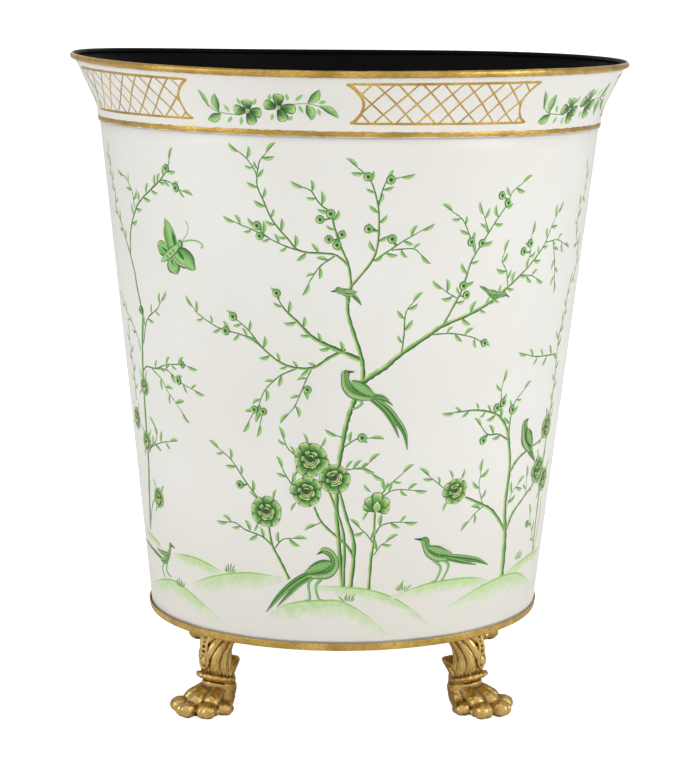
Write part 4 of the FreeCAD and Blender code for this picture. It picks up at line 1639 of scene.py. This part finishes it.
# Birds and a butterfly; every point is a pixel and a half width in pixels
birds = {
    "perched": {
        "body": [(344, 370.5, 2.2), (345.3, 374, 4.0), (345, 379, 3.7), (347, 386, 5.2), (353, 392, 6.2),
                 (361, 395, 5.6), (370, 397, 3.6), (376, 400, 2.2)],
        "beak": [(347, 372, 1.6), (354.6, 371.8, 0.4)], "eye": (347.1, 372.6),
        "wing": [(351, 382, 2.5), (358, 386, 5.2), (366, 391, 5.0), (374.5, 395, 1.0)],
        "tails": [[(371, 397, 2.6), (387, 408.5, 3.2), (397, 420.6, 3.0), (404.6, 433.3, 2.4),
                   (407.5, 450, 0.4)],
                  [(370, 398, 2.0), (384, 410, 2.2), (393, 423, 2.0), (399, 438, 0.4)],
                  [(372, 395, 1.6), (382, 396.5, 1.8), (389, 400, 0.4)],
                  [(376, 398, 1.4), (386, 400.5, 1.5), (393, 405.5, 0.4)]],
        "legs": [[(356.8, 398, 0.7), (362, 403, 0.6), (357, 407.5, 0.5), (352, 409.1, 0.5)]],
    },
    "centre": {
        "facing": "left",
        "body": [(321, 551.5, 2.0), (324.5, 550.5, 3.4), (330, 553, 3.6), (334, 559, 3.6), (334, 566, 4.6),
                 (328, 572, 6.2), (318, 574, 5.4), (308, 574.5, 3.4)],
        "beak": [(322, 551.5, 1.5), (317.1, 554.3, 0.4)], "eye": (324.0, 550.6),
        "wing": [(331, 563, 2.6), (324, 565, 5.6), (315, 568.5, 5.0), (305.5, 571.8, 0.8)],
        "tails": [[(309, 573.5, 2.8), (296, 581, 3.2), (284, 591, 2.8), (275, 601, 2.2), (266.4, 612, 0.4)],
                  [(312, 577, 2.0), (300, 584, 2.2), (289, 594, 2.0), (277, 607, 0.4)]],
        "legs": [[(314, 576.6, 0.7), (308.6, 583.8, 0.6), (309.7, 598.8, 0.5), (304.5, 601, 0.5)],
                 [(321.2, 579.4, 0.7), (315.8, 586.4, 0.6), (318.5, 598.6, 0.5), (323.4, 600.8, 0.5)]],
    },
    "right": {
        "body": [(421, 540, 2.2), (425, 541, 4.2), (426, 546, 3.8), (430, 552, 5.2), (438, 556, 5.8),
                 (447, 557, 3.6)],
        "beak": [(422, 539.6, 1.5), (414.5, 538.9, 0.4)], "eye": (423.6, 540.2),
        "wing": [(428, 547.5, 2.0), (436, 550, 4.6), (444, 552, 3.4), (451.5, 553, 0.6)],
        "tails": [[(446, 556, 2.6), (462, 557.6, 3.0), (477, 559.9, 2.6), (488.2, 564.6, 0.4)],
                  [(447, 558.5, 1.8), (462, 561.5, 2.0), (476, 564.5, 0.4)]],
        "legs": [[(433.7, 560.4, 0.7), (440.6, 567.9, 0.6), (436, 580, 0.5), (431, 582.5, 0.5)],
                 [(442.9, 559.3, 0.7), (448.5, 565, 0.6), (444.6, 575.4, 0.5), (441, 581, 0.5)]],
    },
    "smallCentre": {
        "body": [(335.5, 290.5, 1.6), (338, 290.3, 3.1), (342, 291.3, 2.8), (347, 292.8, 3.8),
                 (353, 294, 2.4)],
        "beak": [(335.5, 291, 1.1), (330.8, 291.6, 0.3)], "eye": (336.8, 289.8),
        "wing": [(343, 291, 1.3), (348, 291.4, 2.6), (357, 292.4, 0.5)],
        "tails": [[(352, 294.5, 1.7), (357, 299, 1.9), (361.5, 305.3, 0.4)]],
        "legs": [[(347, 296, 0.6), (347, 300, 0.5), (349, 303.5, 0.4)]],
    },
    "smallRight": {
        "body": [(506, 294.2, 1.4), (504, 294.1, 2.8), (500, 294.8, 2.6), (494.5, 295.5, 3.6),
                 (488, 291.5, 2.2)],
        "beak": [(506, 295, 1.0), (509.5, 297, 0.3)], "eye": (504.9, 293.4),
        "wing": [(498, 293, 1.2), (492.5, 292.3, 2.4), (485.5, 289.6, 0.5)],
        "tails": [[(489, 292, 1.6), (484, 288.5, 1.7), (479.5, 286.1, 0.4)]],
        "legs": [[(494, 298.5, 0.6), (493, 302, 0.5), (490, 304, 0.4)]],
    },
    "left": {
        "body": [(171.5, 545, 1.4), (170.3, 545, 2.2), (170, 549.5, 1.9), (168.5, 555, 2.9),
                 (165.5, 560.5, 3.5), (161.5, 559, 2.4)],
        "beak": [(171.5, 545.5, 1.2), (175, 548.3, 0.3)], "eye": (171.0, 544.4),
        "wing": [(168.5, 553, 1.2), (164.5, 553.5, 2.6), (157.5, 548.6, 0.5)],
        "tails": [[(162, 558.5, 1.8), (155, 551, 2.0), (149, 543, 1.4), (146.6, 538.7, 0.4)]],
        "legs": [[(163.5, 563.5, 0.6), (162.8, 570, 0.5), (165.3, 577, 0.4)],
                 [(167, 562.5, 0.6), (167, 571.2, 0.5), (171.3, 577.3, 0.4)]],
    },
    "sideRight": {
        "body": [(526.6, 420.4, 1.8), (525.5, 422.5, 4.0), (524.5, 426.5, 4.4), (524.8, 431.5, 6.0),
                 (526.1, 438, 8.6), (528, 445.5, 6.0), (530, 449.5, 3.0)],
        "beak": [(526.4, 421, 2.2), (528.4, 418.4, 0.4)], "eye": (525.8, 422.4),
        "wing": [(527.2, 429.6, 2.5), (528.2, 435, 6.2), (529.6, 441, 5.0), (531.6, 446.3, 0.8)],
        "seams": [[(526.3, 429.4, 0.6), (524.9, 435.5, 1.1), (526.4, 441.6, 1.1), (530.6, 446.0, 0.6)],
                  [(529.4, 430.6, 0.5), (531.3, 436, 0.8), (531.9, 442.5, 0.5)]],
        "tails": [[(528.2, 445, 4.2), (530.2, 450.5, 4.4), (532.6, 456, 2.6), (534.9, 461.6, 0.4)]],
        "legs": [[(527, 446.5, 0.5), (526.2, 450.2, 0.5)]],
    },
}


featherPiece = {
    # shares of the half width to each side, length, half width, bend and layer
    "breast": ((-0.45, 0.1, 0.55), 1.3, 0.36, 0.05, 3),
    "wing": ((-0.5, 0.0, 0.5), 2.6, 0.42, 0.04, 5),
    "legs": 2.1,             # legs are drawn so many times as wide as their marks say
    "eye": 0.62,
    "eyeRings": [(0.35, 0.75, "dark"), (0.6, 0.75, "dark"), (1.0, 0.6, "cream")],
}


def featherStroke(paint, marks, colours, layer, steps=5):
    line = smoothPath(spots(marks), steps)
    widths = smoothValues([mark[2] for mark in marks], steps)
    halves = [max(half, 0.2) * paintPiece["pixel"] for half in widths]
    paint.ribbon(line, halves, [colours] * len(line), layer)
    return line, halves


# Rows of small feathers over a stroke that was painted before; sides are shares of its half width
def featherRows(paint, stroke, steps, sides, length, half, bend, layer):
    line, halves = stroke
    for number in steps:
        run = Vector(wayTo(line[number], line[number + 1])).normalized()
        for side in sides:
            across = halves[number] * side
            spot = stepped(line[number], -run.y * across, run.x * across)
            leafStroke(paint, spot, stepped(spot, run.x * length, run.y * length), half, bend, layer, "pale")


def birdStroke(paint, bird):
    bodyTones = toneRow("outline", "pale", "deep", "mid", "outline")
    if bird.get("facing") == "left":
        bodyTones.reverse()
    for marks in bird["legs"]:
        legs = [(x, y, half * featherPiece["legs"]) for x, y, half in marks]
        featherStroke(paint, legs, toneRow("outline", "light", "light", "mid", "dark"), 1)
    for number, marks in enumerate(bird["tails"]):
        featherStroke(paint, marks, toneRow("outline", "mid", "dark", "light", "outline"), 1 + number % 2)
    body = featherStroke(paint, bird["body"], bodyTones, 2)
    featherStroke(paint, bird["beak"], toneRow("dark") * 5, 2, 3)
    wing = featherStroke(paint, bird["wing"], toneRow("outline", "mid", "light", "mid", "outline"), 4)
    for marks in bird.get("seams", []):
        featherStroke(paint, marks, toneRow("mid", "dark", "outline", "dark", "mid"), 6)
    # small feathers on the breast and long ones on the wing
    featherRows(paint, body, range(4, len(body[0]) - 4, 2), *featherPiece["breast"])
    featherRows(paint, wing, range(2, len(wing[0]) - 3, 2), *featherPiece["wing"])
    roundSpot(paint, wallSpot(*bird["eye"]), featherPiece["eye"], featherPiece["eyeRings"], 10)


butterfly = {
    "wings": [[(172.5, 251, 4.5), (171.5, 243, 9.6), (169, 233, 9.4), (166.6, 224, 5.4), (165, 218, 0.8)],
              [(175, 254, 4.5), (182, 257, 9.8), (188, 261.0, 9.2), (192, 266, 5.6), (195.5, 270, 1.0)],
              [(168, 253, 5.0), (164, 249.5, 9.0), (160, 246.5, 8.0), (157, 245, 1.2)],
              [(171, 258, 5.0), (173, 264, 9.5), (175.5, 270, 8.0), (177, 274.5, 1.2)]],
    "shades": [[(175.5, 246, 1.6), (174, 239, 2.4), (172, 231, 0.4)],
               [(178, 251, 1.6), (181.5, 255.5, 2.4), (184.5, 260, 0.4)],
               [(171.5, 260, 1.8), (173.6, 266, 0.4)],
               [(167, 251, 1.8), (161.8, 247, 0.4)]],
    "rims": [[(167.4, 245.3, 0.5), (164.9, 238.6, 0.9), (164.0, 231.4, 0.9), (164.6, 225.6, 0.9),
              (166.5, 221, 0.4)],
             [(173.7, 255.5, 0.5), (176.3, 260, 0.9), (179.8, 263.8, 0.9), (184.8, 265.6, 0.8),
              (190, 265.4, 0.4)],
             [(168.6, 264, 0.4), (170.6, 267.9, 0.8), (173.7, 269.5, 0.8), (176.4, 268, 0.8),
              (177.8, 265.8, 0.4)],
             [(162.9, 242.0, 0.4), (159.4, 243.2, 0.8), (158.5, 246.5, 0.8), (160.0, 250.4, 0.8),
              (162.6, 253, 0.4)]],
    "body": [(161.4, 261.8, 0.6), (165.2, 258.2, 3.0), (170.5, 253.4, 4.4), (175.6, 248.5, 3.6),
             (179.2, 245, 1.6)],
    "bands": [[(167, 255, 0.4), (169.2, 257.5, 0.7)], [(169.8, 252, 0.4), (172.2, 254.8, 0.7)],
              [(172.8, 249.2, 0.4), (174.8, 251.8, 0.7)]],
    "head": (180.4, 243.8), "headRadius": 3.2, "headTallness": 1.25,
    "feelers": [[(182.4, 241.4, 0.7), (187.2, 233, 0.7), (188, 226, 0.7), (185.4, 220.9, 0.8)],
                [(182.8, 241.8, 0.7), (189.3, 240.3, 0.8), (196, 240.9, 0.8), (201, 243.4, 0.8),
                 (202.8, 246.4, 0.8), (200.9, 248, 0.8)]],
}


def butterflyStroke(paint):
    strokes = {
        "wings": (0, toneRow("outline", "light", "light", "mid", "outline")),
        "shades": (2, toneRow("mid", "deep", "dark", "deep", "mid")),
        "rims": (3, toneRow("dark", "cream", "cream", "light", "dark")),
        "body": (4, toneRow("outline", "pale", "light", "pale", "outline")),
        "bands": (6, toneRow("deep") * 5),
        "feelers": (0, toneRow("mid", "light", "light", "light", "mid")),
    }
    for name, (layer, colours) in strokes.items():
        lines = [butterfly[name]] if name == "body" else butterfly[name]
        for number, marks in enumerate(lines):
            featherStroke(paint, marks, colours, layer + number % 2)
    rings = [(0.3, 0.75, "light"), (0.75, 0.75, "mid"), (1.0, 0.5, "outline")]
    radius = butterfly["headRadius"] * paintPiece["pixel"]
    roundSpot(paint, wallSpot(*butterfly["head"]), radius, rings, 14, butterfly["headTallness"])


def paintBirds():
    paint = Paint()
    for bird in birds.values():
        birdStroke(paint, bird)
    butterflyStroke(paint)
    paint.piece("gardenBirds")


# Crests of the ground: pixels, and how far down the wash reaches in millimetres
hills = [
    ([(145.6, 525.9), (155.8, 538.7), (161.3, 545.8)], 6),
    ([(172.9, 553.3), (189.5, 555.8), (206.1, 562.4), (223.5, 572.4)], 9),
    ([(153, 582.3), (163, 579), (176.2, 581.5), (196.1, 597.2), (220.2, 618.8)], 12),
    ([(192.8, 583.2), (214.4, 575.7), (247.5, 572.4), (283.9, 577.2)], 12),
    ([(309.7, 585.4), (346.8, 587), (373.6, 590.7), (400.4, 601.4), (428, 622.9)], 8),
    ([(270.2, 612.3), (283.9, 605.2), (300.4, 601.3), (322.3, 600.2), (341.4, 601.4), (364.6, 613.9),
      (389.6, 635.4)], 13),
    ([(391.4, 596), (422.2, 585), (445, 580), (471.8, 577.3), (488, 580)], 9),
    ([(505.7, 572), (525.4, 556.8), (538.8, 546)], 7),
    ([(446.8, 606.8), (475.4, 588.9), (500.4, 576.4), (512.9, 572.9), (521.8, 574.6), (530.7, 585.4)], 13),
]
hillPiece = {
    # strokes down from a crest: how far down, lift and tone
    "rows": [(0.5, -0.04, "enamel"), (0.2, 0.05, "crest"), (-0.35, 0.06, "crest"), (-1.2, 0.05, "wash"),
             (-3.2, 0.05, "wash")],
    "layer": 0.012,          # each hill lies this much higher than the one before
    "lowest": 5.6,           # the wash ends above the groove line
    "tufts": [(181, 587), (230, 572.7), (402, 590.9), (348.6, 601.6), (518.2, 558.8)],
}


def paintHills():
    random.seed(12)
    paint = Paint()
    rows = hillPiece["rows"]
    for number, (pixels, depth) in enumerate(hills):
        line = smoothPath(spots(pixels), 8)
        start = len(paint.points)
        count = len(line)
        layer = number * hillPiece["layer"]
        for step, spot in enumerate(line):
            share = step / (count - 1)
            fade = min(1.0, 4 * share, 4 * (1 - share))
            down = [(drop * (0.4 + 0.6 * fade), lift, tones[tone]) for drop, lift, tone in rows]
            reach = depth * (0.35 + 0.65 * fade)
            down.append((-reach * 0.6, 0.04, mixed(tones["wash"], tones["enamel"], 0.5)))
            down.append((-reach, -0.04, tones["enamel"]))
            for drop, lift, colour in down:
                height = max(spot.y + drop, hillPiece["lowest"])
                soft = mixed(tones["enamel"], colour, 0.25 + 0.75 * fade)
                paint.add(Vector((spot.x, height)), lift + (layer if lift > 0 else 0.0), soft)
        paint.grid(start, count, len(rows) + 2)
    for pixel in hillPiece["tufts"]:
        base = wallSpot(*pixel)
        for blade in range(6):
            turn = math.radians(35 + 22 * blade + random.uniform(-6, 6))
            tip = towards(base, turn, random.uniform(4.2, 7.6))
            leafStroke(paint, stepped(base, 2.5 - blade, 0), tip, 0.55, 0.1, layer=1)
    paint.piece("gardenHills")


# Collar decoration
panelPiece = {
    "starts": [math.radians(turn) for turn in (-75.2, -0.6, 76.0, 146.5, 216.0)],
    "first": 1,                      # the panel that the pixels below belong to
    "side": [(346.4, 84.1), (353.6, 88.6), (361.6, 97.5), (363.8, 104.6), (361.6, 112.7), (357.1, 119.8),
             (350, 123.6)],
    "corner": (541.4, 82.0),
    "frameHalf": 1.0,
    "latticeHalf": 0.68,
    "pitch": 13.6,                   # millimetres along the collar
    "run": 25.5,                     # how far a diagonal goes along while it crosses the panel
    "edgeSteps": 30,
    "waver": 0.0036,                 # radians
}


def goldStroke(paint, line, half):
    halves = [half * (1 + 0.18 * noise.noise(Vector((spot.x * 60, spot.y * 0.4, half)))) for spot in line]
    halves[0] *= 0.6
    halves[-1] *= 0.6
    paint.ribbon(line, halves, [toneRow("cream") * 5] * len(line), 0)


def straight(first, last, steps):
    return [first + (last - first) * (step / steps) for step in range(steps + 1)]


def collarLattice():
    p = panelPiece
    paint = Paint()
    leftSide = smoothPath(spots(p["side"]), 4)
    start = p["starts"][p["first"]]
    width = wallSpot(*p["corner"]).x - start
    leftSide = [Vector((spot.x - start, spot.y)) for spot in leftSide]
    rightSide = [Vector((width - spot.x, spot.y)) for spot in leftSide]
    top = leftSide[0].y
    bottom = leftSide[-1].y
    goldStroke(paint, leftSide, p["frameHalf"])
    goldStroke(paint, rightSide, p["frameHalf"])
    for end in (0, -1):
        goldStroke(paint, straight(leftSide[end], rightSide[end], p["edgeSteps"]), p["frameHalf"])
    radius = wallRadius((top + bottom) / 2)

    def edgeAt(height):
        for low, high in zip(leftSide, leftSide[1:]):
            if min(low.y, high.y) <= height <= max(low.y, high.y):
                share = (height - low.y) / (high.y - low.y or 1)
                return low.x + (high.x - low.x) * share
        return 0.0

    pitch = p["pitch"] / radius
    run = p["run"] / radius
    for slant in (-1, 1):
        offset = -run - pitch
        while offset < width + run + pitch:
            line = []
            for step in range(41):
                share = step / 40
                height = top + (bottom - top) * share
                waver = p["waver"] * math.sin(offset * 40 + share * 3)
                x = offset + slant * run * (share - 0.5) + waver
                if edgeAt(height) <= x <= width - edgeAt(height):
                    line.append(Vector((x, height)))
            if len(line) > 4:
                goldStroke(paint, line, p["latticeHalf"])
            offset += pitch
    paint.piece("collarLattice", goldBrushed, "gold_paint", p["starts"])


# One spray of leaves and two four-petal flowers between two panels, in pixels
garland = {
    "stems": [([(249, 112), (239.5, 114.6), (223.7, 112.6), (214.8, 108.7), (206, 99.5)], 0.42),
              ([(294, 105), (299.7, 103.7), (311.6, 103.7), (323, 106.4)], 0.42)],
    # base, tip and half width in millimetres, and which way the leaf bends
    "leaves": [((211, 106.5), (199.9, 89.0), 1.25, -0.08), ((221.2, 111.6), (217.2, 93.3), 2.3, 0.1),
               ((223.2, 113.2), (210.3, 119.5), 2.4, 0.1), ((311.1, 102.7), (322.5, 89.4), 2.3, -0.12),
               ((309.6, 105.0), (314.6, 120.5), 2.5, 0.12), ((322.5, 106.2), (341.7, 118.0), 1.9, 0.1)],
    "flowers": [((250.5, 110.8), [(249.1, 99.6), (236.6, 109.6), (264.6, 113.4), (256, 124.6)]),
                ((281.2, 107.4), [(281.3, 93.6), (266.6, 103.6), (299.0, 109.4), (287.6, 121.6)])],
    "sprigs": [((243.5, 104.8), (239.3, 97.6)), ((256.0, 104.8), (259.0, 98.4)),
               ((231.8, 111.8), (226.2, 104.4)), ((234.8, 116.8), (230.3, 122.8)),
               ((244.4, 117.0), (243.8, 125.4)), ((272.6, 100.4), (272.8, 93.6)),
               ((291.0, 100.4), (289.4, 93.6)), ((298.8, 100.6), (306.2, 94.2)),
               ((275.6, 113.6), (274.6, 120.6)), ((291.8, 120.6), (295.4, 115.6)),
               ((301.6, 105.6), (306.6, 113.2)), ((322.0, 103.2), (329.6, 101.2)),
               ((321.2, 109.0), (323.4, 115.8))],
    "sprigHalves": [0.3, 1.1, 1.5, 1.35, 0.8, 0.1],
    "middle": (270.0, 107.0),
    "panelWidth": math.radians(42),
}


def paintSpray(paint):
    g = garland
    for pixels, half in g["stems"]:
        line = smoothPath(spots(pixels), 6)
        colours = [toneRow("dark", "deep", "mid", "cream", "mid")] * len(line)
        paint.ribbon(line, [half] * len(line), colours, 0)
    for base, tip, half, bend in g["leaves"]:
        leafStroke(paint, wallSpot(*base), wallSpot(*tip), half * 1.25, bend, layer=1)
    for ends in g["sprigs"]:
        paint.ribbon(smoothPath(spots(ends), 5), g["sprigHalves"], [toneRow("light") * 5] * 6, 0)
    rings = [(0.3, 0.36, "light"), (0.8, 0.32, "light"), (1.0, -0.04, "outline")]
    for heart, tips in g["flowers"]:
        spot = wallSpot(*heart)
        for tip in tips:
            across, up = wayTo(spot, wallSpot(*tip))
            petalStroke(paint, spot, math.atan2(up, across), math.hypot(across, up), 3.5, 1.2, 1)
        roundSpot(paint, spot, 0.95, rings, 10)


# The same spray between each two panels, drawn together or apart to fill its gap
def garlands():
    starts = panelPiece["starts"]
    width = garland["panelWidth"]
    single = Paint()
    paintSpray(single)
    middle = wallSpot(*garland["middle"]).x
    whole = len(single.points)
    frontGap = starts[1] - starts[0]
    spray = Paint()
    for number, (start, following) in enumerate(zip(starts, starts[1:] + [starts[0] + 2 * math.pi])):
        gapShare = (following - start - width) / (frontGap - width)
        centre = (start + width + following) / 2
        for angle, height, lift in single.points:
            spray.points.append((centre + (angle - middle) * gapShare, height, lift))
        spray.colours += single.colours
        spray.faces += [tuple(number * whole + corner for corner in face) for face in single.faces]
    spray.piece("collarGarlands", turns=(0.0,))


paintLine("grooveShadowLine")
paintHills()
paintBranches()
paintBuds()
paintBlooms()
paintBirds()
collarLattice()
garlands()
print("garden: painted on both sides")

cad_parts["foot_bolts"].data.materials.clear()
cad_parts["foot_bolts"].data.materials.append(blackSatin)
